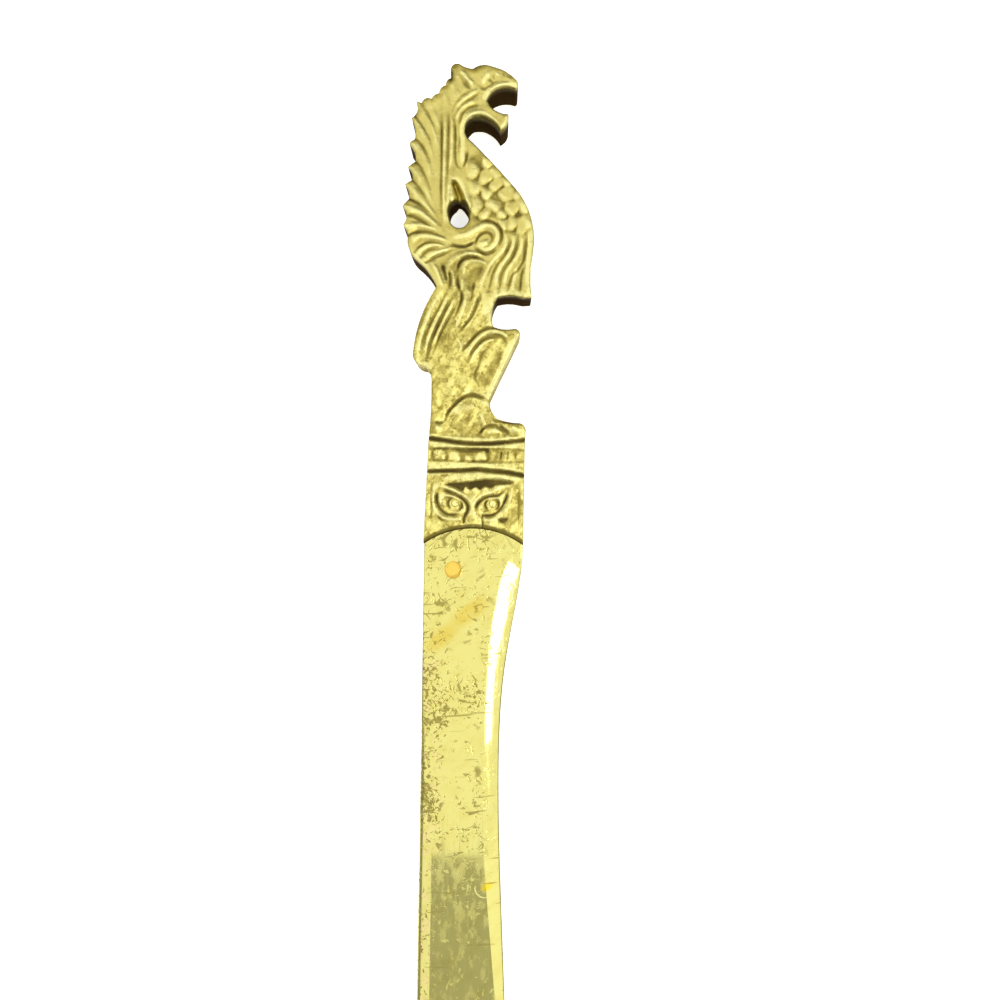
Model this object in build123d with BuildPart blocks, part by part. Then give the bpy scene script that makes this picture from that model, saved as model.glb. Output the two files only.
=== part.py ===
"""Letter opener: a cast brass figure handle on a ground brass blade, held by two pins through the tang.

It lies flat: +X across, +Y towards the figure's head, +Z out of the front face, in millimetres.
The origin is under the middle of the whole length and width.
"""

import os

from build123d import *

# Driving dimensions of the handle
HANDLE_THICKNESS = 6.5
PLINTH_WIDTH = 16.7
PLINTH_HEIGHT = 18.0
PLINTH_LEAN = 0.6
FIGURE_HEIGHT = 62.2
ARCH_RISE = 2.7
ARCH_LIP = 0.8

# Driving dimensions of the blade
BLADE_LENGTH = 150.0
BLADE_THICKNESS = 2.0
EDGE_THICKNESS = 0.7
HEEL_LENGTH = 3.0
HIP_WIDTH = 15.85
HIP_DISTANCE = 9.3
SHOULDER_WIDTH = 14.1
SHOULDER_DISTANCE = 20.0
WAIST_WIDTH = 13.25
WAIST_DISTANCE = 38.0
BELLY_WIDTH = 15.5
BELLY_TO_TIP = 52.0
POINT_WIDTH = 7.6
POINT_LENGTH = 12.0
POINT_SET_IN = 3.4
TIP_WIDTH = 0.8
TIP_THICKNESS = 0.8
TIP_CHAMFER = 0.2
TIP_SET_IN = 6.4
STRAIGHT_BACK = 104.0
BACK_BEVEL = 2.0
EDGE_BEVEL = 2.6
TANG_WIDTH = 11.0
TANG_LENGTH = 14.0
TANG_CLEARANCE = 0.05

# Driving dimensions of the pins, whose ends are the pupils of the mask
PIN_DIAMETER = 1.6
PIN_SPREAD = 6.3
PIN_RISE = 6.9
PIN_CHAMFER = 0.3
PIN_SETBACK = 0.25
PIN_CLEARANCE = 0.03

# Driving dimensions of the carving
OVERCUT = 0.2
EYE_DEPTH = 0.55
SCALE_DEPTH = 0.5
CROWN_GROOVE_DROP = 0.7
BEAD_ROW_DROP = 3.0
SILL_GROOVE_DROP = 5.8
BAND_GROOVE_DEPTH = 0.6
BAND_OVERRUN = 1.0
BEAD_HEIGHT = 2.2
BEAD_PITCH = 2.15
BEAD_COUNT = 7
BEAD_GROOVE_DEPTH = 0.4
PANEL_MARGIN = 1.1
PANEL_FOOT = 3.6
PANEL_FOOT_DEPTH = 0.1

# The figure is drawn at this height, with its back foot's sole at zero, and is brought to FIGURE_HEIGHT
DRAWN_HEIGHT = 61.9
DRAWN_WING_REACH = 12.7
DRAWN_CHEST_REACH = 9.2
DRAW = FIGURE_HEIGHT / DRAWN_HEIGHT

# Places that follow from the sizes: the centre line, the joint of handle and blade, the blade's straight back
AXIS_X = (DRAWN_WING_REACH - DRAWN_CHEST_REACH) * DRAW / 2
JOINT_Y = (BLADE_LENGTH - PLINTH_HEIGHT - FIGURE_HEIGHT) / 2
FIGURE_Y = JOINT_Y + PLINTH_HEIGHT
MIDDLE_Z = HANDLE_THICKNESS / 2
BACK = -PLINTH_WIDTH / 2
ARCH_RADIUS = (PLINTH_WIDTH**2 / 4 + ARCH_RISE**2) / (2 * ARCH_RISE)

JOINT_MIDDLE = Plane((AXIS_X, JOINT_Y, MIDDLE_Z))
JOINT_FRONT = Plane((AXIS_X, JOINT_Y, HANDLE_THICKNESS))
JOINT_BACK = Plane((AXIS_X, JOINT_Y, 0))
FIGURE_BACK = Plane((AXIS_X, FIGURE_Y, 0))
FIGURE_FRONT = Plane((AXIS_X, FIGURE_Y, HANDLE_THICKNESS))

# The beast's outline: straight stretches of two points, and arcs of three
SOLE = -1.0
FRONT_OUTLINE = [
    [(8.34, SOLE), (8.4, 1.3)],
    [(8.4, 1.3), (8.0, 2.15), (7.0, 2.45)],
    [(7.0, 2.45), (5.0, 2.7), (3.6, 3.1)],
    [(3.6, 3.1), (2.6, 4.5), (2.3, 6.4)],
    [(2.3, 6.4), (7.2, 17.1)],
    [(7.2, 17.1), (6.95, 17.8), (6.2, 18.1)],
    [(6.2, 18.1), (4.5, 17.95), (2.7, 18.4)],
    [(2.7, 18.4), (2.4, 20.8), (3.3, 23.3)],
    [(3.3, 23.3), (5.4, 23.6), (7.5, 23.3)],
    [(7.5, 23.3), (9.0, 23.4)],
    [(9.0, 23.4), (8.75, 26.8), (9.05, 30.5)],
    [(9.05, 30.5), (8.8, 36.2), (6.2, 41.2)],
    [(6.2, 41.2), (2.4, 45.3), (-1.7, 49.3)],
    [(-1.7, 49.3), (-2.6, 51.3), (-1.4, 53.2)],
    [(-1.4, 53.2), (0.8, 53.1), (3.3, 50.9)],
    [(3.3, 50.9), (4.4, 52.1), (4.6, 53.7)],
    [(4.6, 53.7), (2.5, 54.2), (1.0, 56.0)],
    [(1.0, 56.0), (1.5, 57.1), (2.6, 57.95)],
    [(2.6, 57.95), (4.2, 58.3), (5.8, 58.0)],
    [(5.8, 58.0), (6.15, 58.65), (5.9, 59.35)],
    [(5.9, 59.35), (4.2, 60.7), (1.9, 61.55)],
    [(1.9, 61.55), (0.0, 61.8), (-1.4, 61.15)],
    [(-1.4, 61.15), (-2.6, 61.4), (-3.6, 61.9)],
    [(-3.6, 61.9), (-4.7, 61.75), (-5.1, 60.9)],
    [(-5.1, 60.9), (-5.05, 59.6)],
    [(-5.05, 59.6), (-5.75, 58.95), (-5.9, 58.3)],
    [(-5.9, 58.3), (-6.75, 57.75), (-6.95, 57.0)],
    [(-6.95, 57.0), (-7.9, 56.55), (-8.2, 56.05)],
    [(-8.2, 56.05), (-9.2, 56.1), (-9.8, 55.35)],
]
# The wing's feathers along the back, from the nape down: the notch above each feather, and its tip
FEATHERS = [
    ((-9.8, 55.35), (-10.7, 55.6)),
    ((-10.75, 53.5), (-11.45, 52.8)),
    ((-10.85, 49.4), (-11.75, 48.65)),
    ((-10.6, 45.75), (-11.9, 44.65)),
    ((-11.1, 42.65), (-12.35, 41.8)),
    ((-11.7, 39.4), (-12.7, 38.2)),
    ((-12.1, 35.9), (-12.55, 35.0)),
]
FEATHER_BULGE = 0.3
WING_FOOT = (-11.8, 32.6)
BACK_OUTLINE = [
    [WING_FOOT, (-11.3, 30.6), (-10.0, 29.1)],
    [(-10.0, 29.1), (-8.2, 27.3), (-6.8, 24.9)],
    [(-6.8, 24.9), (-9.5, 19.3), (-10.55, 14.0)],
    [(-10.55, 14.0), (-10.1, 12.3), (-8.5, 11.6)],
    [(-8.5, 11.6), (-7.7, 10.6), (-7.4, 9.3)],
    [(-7.4, 9.3), (-7.4, 4.5), (-7.75, SOLE)],
    [(-7.75, SOLE), (8.34, SOLE)],
]
# The piercing between wing and chest, a teardrop with its point up
TEARDROP = [
    [(-3.55, 40.2), (-2.25, 38.9), (-1.75, 36.6)],
    [(-1.75, 36.6), (-3.1, 34.7), (-4.85, 36.4)],
    [(-4.85, 36.4), (-4.75, 38.9), (-3.55, 40.2)],
]

# Tool marks on the beast, each a line of points: across, up from the sole, and depth below the front face
HEAD_MARKS = [
    [(-3.4, 59.8, 0.2), (-2.2, 58.5, 0.7), (-1.4, 57.3, 0.1)],
    [(-1.2, 56.8, 0.1), (-2.8, 55.6, 0.6), (-4.1, 54.1, 0.6), (-4.9, 51.8, 0.1)],
    [(-0.5, 55.0, 0.1), (-2.1, 54.3, 0.6), (-3.2, 52.5, 0.6), (-3.5, 49.5, 0.1)],
    [(0.5, 56.2, 0.2), (1.1, 57.9, 0.5), (2.6, 59.0, 0.5), (4.8, 59.3, 0.1)],
    [(1.5, 60.1, 0.1), (2.5, 59.9, 0.6), (3.3, 59.9, 0.1)],
]
NECK_MARKS = [
    [(-6.6, 54.4, 0.1), (-6.3, 47.7, 0.8), (-6.1, 41.1, 0.8), (-5.5, 35.2, 0.5)],
    [(-5.4, 53.1, 0.1), (-5.0, 47.8, 0.6), (-5.1, 42.8, 0.4)],
    [(-4.1, 51.3, 0.1), (-4.2, 48.6, 0.6), (-3.8, 45.8, 0.6), (-2.8, 44.4, 0.1)],
]
WING_MARKS = [
    [(-9.8, 55.5, 0.5), (-7.8, 53.7, 0.6), (-6.8, 50.1, 0.1)],
    [(-10.9, 53.6, 0.7), (-8.4, 51.7, 0.8), (-6.6, 47.2, 0.1)],
    [(-11.0, 49.4, 0.7), (-8.4, 47.2, 0.8), (-6.7, 42.6, 0.1)],
    [(-10.8, 46.0, 0.7), (-8.8, 43.0, 0.8), (-6.9, 38.2, 0.1)],
    [(-11.3, 42.8, 0.7), (-9.4, 40.0, 0.8), (-7.1, 36.2, 0.1)],
    [(-11.9, 39.5, 0.7), (-9.2, 38.0, 0.8), (-6.0, 34.5, 0.1)],
    [(-12.4, 35.9, 0.7), (-9.8, 36.0, 0.8), (-5.9, 33.7, 0.1)],
    [(-12.0, 32.5, 0.6), (-9.1, 34.4, 0.8), (-5.6, 33.1, 0.1)],
    [(-11.4, 30.5, 0.6), (-9.1, 32.9, 0.7), (-5.3, 32.2, 0.1)],
    [(-9.9, 29.2, 0.6), (-7.9, 31.6, 0.7), (-4.7, 31.5, 0.1)],
    [(-8.1, 27.8, 0.6), (-5.9, 30.6, 0.7), (-0.6, 31.9, 0.4)],
]
# Turned grooves of the shoulder's scroll: centre, radius, depth, and the angles that they start and turn through
SCROLL_TURNS = [
    ((1.5, 33.2), 2.45, 0.6, -145, 285),
    ((0.95, 32.9), 1.0, 0.45, -70, 270),
]
LEG_MARKS = [
    [(5.2, 33.7, 0.2), (4.3, 30.6, 0.8), (2.4, 26.7, 0.8), (1.7, 23.4, 0.1)],
    [(6.7, 33.7, 0.2), (5.8, 30.6, 0.8), (4.0, 27.2, 0.8), (3.6, 23.2, 0.5)],
    [(7.9, 33.7, 0.2), (7.6, 30.5, 0.7), (7.1, 23.2, 0.6)],
    [(5.9, 27.9, 0.1), (5.1, 26.1, 0.6), (5.2, 23.4, 0.5)],
    [(-4.3, 27.6, 0.1), (-2.7, 29.6, 0.6), (1.2, 29.4, 0.1)],
    [(-2.0, 25.2, 0.1), (-1.3, 27.9, 0.6), (1.2, 27.6, 0.1)],
]
HIND_MARKS = [
    [(-5.0, 23.4, 0.1), (-7.3, 18.7, 0.7), (-9.3, 13.2, 0.1)],
    [(-2.8, 22.6, 0.1), (-5.6, 17.7, 0.9), (-8.2, 11.4, 0.7)],
    [(0.3, 23.2, 0.1), (-0.8, 20.0, 0.7), (-2.6, 17.0, 0.1)],
    [(-2.7, 13.3, 0.1), (-0.5, 16.3, 0.8), (3.2, 18.3, 0.6)],
    [(-2.4, 10.6, 0.1), (0.6, 15.5, 0.7), (2.6, 16.6, 0.7), (4.9, 15.4, 0.1)],
    [(-0.9, 9.3, 0.1), (0.6, 12.8, 0.6), (2.9, 15.0, 0.1)],
    [(-5.2, 2.5, 0.1), (-3.1, 6.0, 0.8), (-0.6, 7.0, 0.9), (2.5, 5.8, 0.7)],
    [(0.6, 0.3, 0.1), (2.1, 1.6, 0.5), (4.0, 1.9, 0.4), (6.3, 0.4, 0.1)],
]
# Crossing grooves that leave the chest's scales standing between them
CHEST_ROWS = [
    [(-1.5, 46.4, 0.1), (1.6, 43.1, 0.5), (4.6, 40.0, 0.5), (6.8, 35.6, 0.2)],
    [(-1.9, 43.7, 0.1), (0.3, 41.6, 0.5), (3.2, 38.6, 0.5), (4.9, 35.8, 0.1)],
    [(-1.4, 40.6, 0.1), (0.2, 39.0, 0.5), (2.4, 36.6, 0.1)],
]
CHEST_CROSSINGS = [
    ((0.6, 47.2), (-2.0, 44.6)),
    ((2.0, 45.8), (-1.2, 42.5)),
    ((3.4, 44.4), (-0.9, 40.0)),
    ((4.8, 43.0), (-0.2, 38.0)),
    ((6.2, 41.5), (1.5, 37.0)),
    ((7.4, 39.8), (3.3, 36.4)),
    ((8.5, 37.8), (4.9, 35.4)),
]

# Tool marks on the mask: across, up from the joint, and depth
MASK_MARKS = [
    [(-5.9, 9.6, 0.1), (-3.0, 10.6, 0.7), (0.0, 10.2, 0.8), (3.2, 10.7, 0.7), (6.2, 10.2, 0.1)],
    [(-1.6, 5.1, 0.4), (-1.6, 3.2, 0.1)],
    [(1.6, 5.1, 0.4), (1.6, 3.2, 0.1)],
    [(-5.8, 4.9, 0.1), (-5.1, 4.2, 0.5), (-4.2, 3.8, 0.1)],
    [(5.8, 4.6, 0.1), (4.9, 4.1, 0.5), (3.9, 4.1, 0.1)],
]
# An eye of the mask, from its pupil: outer corner, upper lid, inner corner, lower lid
EYE = [(2.55, 2.2), (-0.6, 1.3), (-2.25, -1.4), (0.9, -1.45)]


def drawn(points):
    """Brings points of the figure's drawing to its real size."""
    return [tuple(value * DRAW for value in point) for point in points]


def edge_line(points):
    """One stretch of an outline: a line between two points, or an arc through three."""
    if len(points) == 2:
        return Line(*points)
    return ThreePointArc(*points)


def beast_outline():
    """Draws the beast's outline in the current line block."""
    for stretch in FRONT_OUTLINE:
        edge_line(drawn(stretch))
    next_notches = [notch for notch, _ in FEATHERS[1:]] + [WING_FOOT]
    for (notch, tip), next_notch in zip(FEATHERS, next_notches):
        notch, tip, next_notch = drawn([notch, tip, next_notch])
        Line(notch, tip)
        SagittaArc(tip, next_notch, FEATHER_BULGE * DRAW)
    for stretch in BACK_OUTLINE:
        edge_line(drawn(stretch))


def teardrop():
    """Draws the piercing's outline in the current line block."""
    for stretch in TEARDROP:
        edge_line(drawn(stretch))


def plinth_outline():
    """Draws the plinth's sides, top and arched lower end in the current line block."""
    half = PLINTH_WIDTH / 2
    Polyline((half, 0), (half, PLINTH_HEIGHT), (PLINTH_LEAN - half, PLINTH_HEIGHT), (-half, 0))
    ThreePointArc((-half, 0), (0, ARCH_RISE), (half, 0))


def gouge(points, front):
    """A V-shaped tool mark through points of across, up and depth below a front plane, as a solid to cut."""
    sections = []
    for place, (across, up, depth) in enumerate(points):
        before = points[max(place - 1, 0)]
        after = points[min(place + 1, len(points) - 1)]
        along = Vector(after[0] - before[0], after[1] - before[1])
        sideways = Vector(0, 0, 1).cross(along)
        reach = depth + OVERCUT
        with BuildSketch(Plane(front.from_local_coords((across, up, 0)), x_dir=sideways, z_dir=along)) as vee:
            Polygon((0, -depth), (reach, OVERCUT), (-reach, OVERCUT))
        sections.append(vee.sketch)
    with BuildPart() as mark:
        loft(sections, ruled=len(sections) == 2)
    return mark.part


def turned_groove(centre, radius, depth, start, turn, front):
    """A V-shaped groove along part of a circle, as a solid to cut."""
    middle = front.from_local_coords((*centre, 0))
    outwards = Vector(1, 0, 0).rotate(Axis.Z, start)
    reach = depth + OVERCUT
    with BuildPart() as groove:
        with BuildSketch(Plane(middle, x_dir=outwards, z_dir=outwards.cross(Vector(0, 0, 1)))):
            Polygon((radius, -depth), (radius + reach, OVERCUT), (radius - reach, OVERCUT))
        revolve(axis=Axis(middle, (0, 0, 1)), revolution_arc=turn)
    return groove.part


def arch_lip():
    """The bevel along the arched lower end: a cone that opens towards the front face."""
    centre = JOINT_FRONT.from_local_coords((0, ARCH_RISE - ARCH_RADIUS, 0))
    with BuildPart() as lip:
        with BuildSketch(Plane(centre, x_dir=(1, 0, 0), z_dir=(0, -1, 0))):
            Polygon(
                (0, -ARCH_LIP),
                (ARCH_RADIUS, -ARCH_LIP),
                (ARCH_RADIUS + ARCH_LIP + OVERCUT, OVERCUT),
                (0, OVERCUT),
            )
        revolve(axis=Axis(centre, (0, 0, 1)))
    return lip.part


def band_marks():
    """The plinth's band: its four long grooves, the notches between its beads, and the panel's sides."""
    side = PLINTH_WIDTH / 2 + BAND_OVERRUN
    bead_row = PLINTH_HEIGHT - BEAD_ROW_DROP
    long_grooves = [
        (PLINTH_HEIGHT - CROWN_GROOVE_DROP, BAND_GROOVE_DEPTH),
        (bead_row + BEAD_HEIGHT / 2, BEAD_GROOVE_DEPTH),
        (bead_row - BEAD_HEIGHT / 2, BEAD_GROOVE_DEPTH),
        (PLINTH_HEIGHT - SILL_GROOVE_DROP, BAND_GROOVE_DEPTH),
    ]
    marks = [[(-side, up, depth), (side, up, depth)] for up, depth in long_grooves]
    low, high = bead_row - BEAD_HEIGHT / 2, bead_row + BEAD_HEIGHT / 2
    for notch in range(BEAD_COUNT + 1):
        across = (notch - BEAD_COUNT / 2) * BEAD_PITCH
        marks.append([(across, low, BEAD_GROOVE_DEPTH), (across, high, BEAD_GROOVE_DEPTH)])
    panel_top = PLINTH_HEIGHT - SILL_GROOVE_DROP
    for across in (PANEL_MARGIN - PLINTH_WIDTH / 2, PLINTH_WIDTH / 2 - PANEL_MARGIN):
        marks.append([(across, PANEL_FOOT, PANEL_FOOT_DEPTH), (across, panel_top, BEAD_GROOVE_DEPTH)])
    return marks


crossings = [[(*end, SCALE_DEPTH) for end in ends] for ends in CHEST_CROSSINGS]
beast_strokes = HEAD_MARKS + NECK_MARKS + WING_MARKS + LEG_MARKS + HIND_MARKS
beast_strokes += CHEST_ROWS + crossings
front_marks = [gouge(drawn(stroke), FIGURE_FRONT) for stroke in beast_strokes]
front_marks += [gouge(stroke, JOINT_FRONT) for stroke in MASK_MARKS + band_marks()]
for centre, radius, depth, start, turn in SCROLL_TURNS:
    sizes = drawn([(*centre, radius, depth)])[0]
    front_marks.append(turned_groove(sizes[:2], sizes[2], sizes[3], start, turn, FIGURE_FRONT))
front_marks.append(arch_lip())
back_marks = [mark.mirror(JOINT_MIDDLE) for mark in front_marks]

# The casting: figure and plinth in one, carved alike on both faces, with a mortise and two pin holes
with BuildPart() as figure_handle:
    with BuildSketch(FIGURE_BACK):
        with BuildLine():
            beast_outline()
        make_face()
        with BuildLine():
            teardrop()
        make_face(mode=Mode.SUBTRACT)
    with BuildSketch(JOINT_BACK):
        with BuildLine():
            plinth_outline()
        make_face()
    extrude(amount=HANDLE_THICKNESS)
    add(front_marks + back_marks, mode=Mode.SUBTRACT)
    for face in (JOINT_FRONT, JOINT_BACK):
        with BuildSketch(face):
            for side in (-1, 1):
                eye = [(side * (PIN_SPREAD / 2 + across), PIN_RISE + up) for across, up in EYE]
                with BuildLine():
                    ThreePointArc(eye[0], eye[1], eye[2])
                    ThreePointArc(eye[2], eye[3], eye[0])
                make_face()
        extrude(amount=EYE_DEPTH, both=True, mode=Mode.SUBTRACT)
    with BuildSketch(JOINT_MIDDLE):
        with Locations((0, TANG_LENGTH / 2)):
            Rectangle(TANG_WIDTH + 2 * TANG_CLEARANCE, TANG_LENGTH + 2 * TANG_CLEARANCE)
    extrude(amount=BLADE_THICKNESS / 2 + TANG_CLEARANCE, both=True, mode=Mode.SUBTRACT)
    with BuildSketch(JOINT_MIDDLE):
        with Locations((-PIN_SPREAD / 2, PIN_RISE), (PIN_SPREAD / 2, PIN_RISE)):
            Circle(PIN_DIAMETER / 2 + PIN_CLEARANCE)
    extrude(amount=HANDLE_THICKNESS, both=True, mode=Mode.SUBTRACT)

# The blade: its outline with ground bevels, a heel of full thickness, a point, arched shoulders and a tang
point_start = POINT_LENGTH - BLADE_LENGTH
edge_points = [
    (BACK + PLINTH_WIDTH, -HEEL_LENGTH),
    (BACK + HIP_WIDTH, -HIP_DISTANCE),
    (BACK + SHOULDER_WIDTH, -SHOULDER_DISTANCE),
    (BACK + WAIST_WIDTH, -WAIST_DISTANCE),
    (BACK + BELLY_WIDTH, BELLY_TO_TIP - BLADE_LENGTH),
    (BACK + POINT_SET_IN + POINT_WIDTH, point_start),
]
tip_plane = Plane((AXIS_X, JOINT_Y - BLADE_LENGTH, MIDDLE_Z), x_dir=(1, 0, 0), z_dir=(0, -1, 0))
with BuildPart() as blade:
    with BuildSketch(JOINT_MIDDLE.offset(-BLADE_THICKNESS / 2)):
        with BuildLine():
            Line((BACK, -HEEL_LENGTH), (BACK, -STRAIGHT_BACK))
            TangentArc((BACK, -STRAIGHT_BACK), (BACK + POINT_SET_IN, point_start), tangent=(0, -1))
            Line((BACK + POINT_SET_IN, point_start), edge_points[-1])
            Spline(*reversed(edge_points))
            Line(edge_points[0], (BACK, -HEEL_LENGTH))
        make_face()
    extrude(amount=BLADE_THICKNESS)
    grind = (BLADE_THICKNESS - EDGE_THICKNESS) / 2
    for end in (0, -1):
        flat = blade.faces().filter_by(Axis.Z).sort_by(Axis.Z)[end]
        chamfer(flat.edges().filter_by(GeomType.BSPLINE), EDGE_BEVEL, grind, reference=flat)
        flat = blade.faces().filter_by(Axis.Z).sort_by(Axis.Z)[end]
        back_edges = flat.edges().filter_by(Axis.Y) + flat.edges().filter_by(GeomType.CIRCLE)
        chamfer(back_edges, BACK_BEVEL, grind, reference=flat)
    point_root = blade.faces().sort_by(Axis.Y)[0]
    with BuildSketch(tip_plane, mode=Mode.PRIVATE) as tip:
        with Locations((BACK + TIP_SET_IN, 0)):
            Rectangle(TIP_WIDTH, TIP_THICKNESS)
            chamfer(tip.vertices(), TIP_CHAMFER)
    loft([point_root, tip.sketch], ruled=True)
    with BuildSketch(JOINT_MIDDLE):
        with Locations((0, (ARCH_RISE - HEEL_LENGTH) / 2)):
            Rectangle(PLINTH_WIDTH, ARCH_RISE + HEEL_LENGTH)
    extrude(amount=BLADE_THICKNESS / 2, both=True)
    with BuildSketch(JOINT_MIDDLE):
        with Locations((0, ARCH_RADIUS)):
            Rectangle(2 * PLINTH_WIDTH, 2 * ARCH_RADIUS)
        with Locations((0, ARCH_RISE - ARCH_RADIUS)):
            Circle(ARCH_RADIUS - TANG_CLEARANCE, mode=Mode.SUBTRACT)
    extrude(amount=BLADE_THICKNESS, both=True, mode=Mode.SUBTRACT)
    with BuildSketch(JOINT_MIDDLE):
        with Locations((0, TANG_LENGTH / 2)):
            Rectangle(TANG_WIDTH, TANG_LENGTH)
        with Locations((-PIN_SPREAD / 2, PIN_RISE), (PIN_SPREAD / 2, PIN_RISE)):
            Circle(PIN_DIAMETER / 2 + PIN_CLEARANCE, mode=Mode.SUBTRACT)
    extrude(amount=BLADE_THICKNESS / 2, both=True)


def tang_pin(across):
    """One pin through casting and tang, with its ends dressed back round the edge."""
    with BuildPart() as pin:
        with BuildSketch(JOINT_MIDDLE):
            with Locations((across, PIN_RISE)):
                Circle(PIN_DIAMETER / 2)
        extrude(amount=HANDLE_THICKNESS / 2 - PIN_SETBACK, both=True)
        chamfer(pin.edges().filter_by(GeomType.CIRCLE), PIN_CHAMFER)
    return pin


tang_pin_left = tang_pin(-PIN_SPREAD / 2)
tang_pin_right = tang_pin(PIN_SPREAD / 2)

figure_handle.part.label = "figure_handle"
blade.part.label = "blade"
tang_pin_left.part.label = "tang_pin_left"
tang_pin_right.part.label = "tang_pin_right"

os.makedirs("parts", exist_ok=True)
export_step(figure_handle.part, "parts/figure_handle.step")
export_step(blade.part, "parts/blade.step")
export_step(tang_pin_left.part, "parts/tang_pin_left.step")
export_step(tang_pin_right.part, "parts/tang_pin_right.step")
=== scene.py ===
"""Brass letter opener: the carved figure handle, the ground blade and the pins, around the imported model."""

import math

import bmesh
import bpy
import numpy as np
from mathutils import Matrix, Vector
from mathutils.geometry import delaunay_2d_cdt


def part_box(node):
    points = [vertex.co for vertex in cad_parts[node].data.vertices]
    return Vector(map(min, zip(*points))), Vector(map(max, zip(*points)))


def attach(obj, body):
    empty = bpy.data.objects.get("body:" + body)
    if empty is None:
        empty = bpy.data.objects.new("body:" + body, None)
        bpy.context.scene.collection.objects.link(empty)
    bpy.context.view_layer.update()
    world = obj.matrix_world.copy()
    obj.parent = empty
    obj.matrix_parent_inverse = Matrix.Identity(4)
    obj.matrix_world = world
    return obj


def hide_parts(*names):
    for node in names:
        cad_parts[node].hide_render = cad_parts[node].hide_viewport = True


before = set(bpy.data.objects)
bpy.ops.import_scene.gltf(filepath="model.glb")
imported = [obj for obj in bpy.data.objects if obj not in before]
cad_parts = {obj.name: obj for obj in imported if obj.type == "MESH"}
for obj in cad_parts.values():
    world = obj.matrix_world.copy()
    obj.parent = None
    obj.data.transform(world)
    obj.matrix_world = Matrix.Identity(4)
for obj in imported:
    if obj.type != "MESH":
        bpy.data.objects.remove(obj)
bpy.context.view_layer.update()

MM = 0.001

# Places read from the frame, in millimetres: the handle's box, the blade's box, the joint on the centre line
HANDLE_LOW, HANDLE_HIGH = [np.array(corner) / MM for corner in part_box("figure_handle")]
BLADE_LOW, BLADE_HIGH = [np.array(corner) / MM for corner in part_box("blade")]
JOINT = np.array([(BLADE_LOW[0] + BLADE_HIGH[0]) / 2, HANDLE_LOW[1]])
MIDDLE_Z = (HANDLE_LOW[2] + HANDLE_HIGH[2]) / 2
BLADE_HALF = (BLADE_HIGH[2] - BLADE_LOW[2]) / 2
PLINTH_HEIGHT = 18.0
DRAWN_FIGURE = 61.9
FIGURE_SCALE = (HANDLE_HIGH[1] - JOINT[1] - PLINTH_HEIGHT) / DRAWN_FIGURE
# The arch in which the handle meets the blade
ARCH_RISE = 2.7
ARCH_RADIUS = (BLADE_HIGH[0] - BLADE_LOW[0]) ** 2 / 8 / ARCH_RISE + ARCH_RISE / 2
ARCH_LIP = 0.8

# The photograph's camera: straight above the opener, which is turned a little in the picture
CAMERA_OVER = JOINT + (4.35, 7.58)
CAMERA_HEIGHT = 131.5
CAMERA_ROLL = math.radians(1.0)
CAMERA_ANGLE = math.radians(67.3)
CAMERA_SENSOR = 36.0
CAMERA_NEAR = 5.0

# Fineness of the carving: the height map, the mesh, and the height of the plane that gives outlines
MAP_STEP = 0.1
MAP_MARGIN = 2.0
MESH_STEP = 0.175
OUTLINE_HEIGHT = 5.0
RIM_OFFSETS = (0.06, 0.15, 0.27)
RIM_CLEARANCE = 0.8
LATTICE_MARGIN = 0.37
# A length that counts as none, and a distance that counts as far from every edge
TINY = 1e-6
FAR = 9.0

# Rings down the casting's wall, as shares of half its thickness, and the darkening on each: dark patina with
# painted shade
WALL_LEVELS = (0.8, 0.4, -0.4, -0.95)
WALL_PATINA_AND_SHADE = (0.8, 1.4, 1.4, 1.4)

# Levels of the casting below its front face, and its rounded rims
FIGURE_GROUND = 0.46
FIGURE_EDGE = 0.16
EDGE_REACH = 2.0
PLINTH_GROUND = 0.18
GROUND_BLEND = 0.35
FIGURE_RIM = 0.3
PLINTH_RIM = 0.26
ROUNDED_RIM = 0.6
CHEST_SUNK = 0.1
CEILING_SOFTNESS = 0.08
SOFTENING = 0.09
# The crown of the piercing, brought down from a height
PIERCING_SHOULDER = 56.0
PIERCING_CROWN = 0.7

# How a stroke's two ends come down: to a share of its rise, over a share of its length
STROKE_ENDS = (0.3, 0.3)
STROKE_FADES = (0.2, 0.25)
CREASE_ENDS = (0.8, 0.15)
CREASE_FADES = (0.2, 0.8)
LEVEL_ENDS = (1.0, 1.0)
SLOPE_ENDS = (0.0, 1.0)

# Form of the scales: rise, size against the list, waves of the border, taper, squareness, lift of one end
SCALE_RISE = 0.32
SCALE_SPREAD = 1.17
SCALE_WOBBLE = 0.2
SCALE_WAVES = (2.3, 2.6)
SCALE_TAPER = 0.2
SCALE_SQUARENESS = 2.2
SCALE_TILT = 0.2

# Patina in the recesses: the depth at which it is full, and its share
HOLLOW_PATINA = (0.3, 0.55)
CARVED_PATINA = (0.4, 0.35)
PLINTH_PATINA = (0.35, 0.3)
# Shares of patina between the scales, of painted shade on rims that face the upper left, and of darkening on
# the arch's lip
CHEST_PATINA = 0.4
PAINTED_SHADE_SHARE = 0.75
LIP_DARKENING = 1.1
# Heights at which beads and scales are clean, the depth at which the piercing's slope is, and how clean it is
BEAD_CLEAN = 0.12
SCALE_CLEAN = 0.5 * SCALE_RISE
SLOPE_DEPTH = 0.6
SLOPE_CLEAN = 0.5
# What counts as hollow: width of the surroundings, weight
HOLLOWS = ((0.3, 1.5), (0.8, 1.0))
# Worn crests, and rims with painted shade where they face the upper left and a painted highlight on the other
# side
CREST_RISE = 0.16
CREST_SHADE = 2.0
RIM_SHADE = 1.2
SHADE_BLEND = 1.0
PLINTH_WEAR = 0.5
UPPER_LEFT = (-0.45, 0.89)

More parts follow.
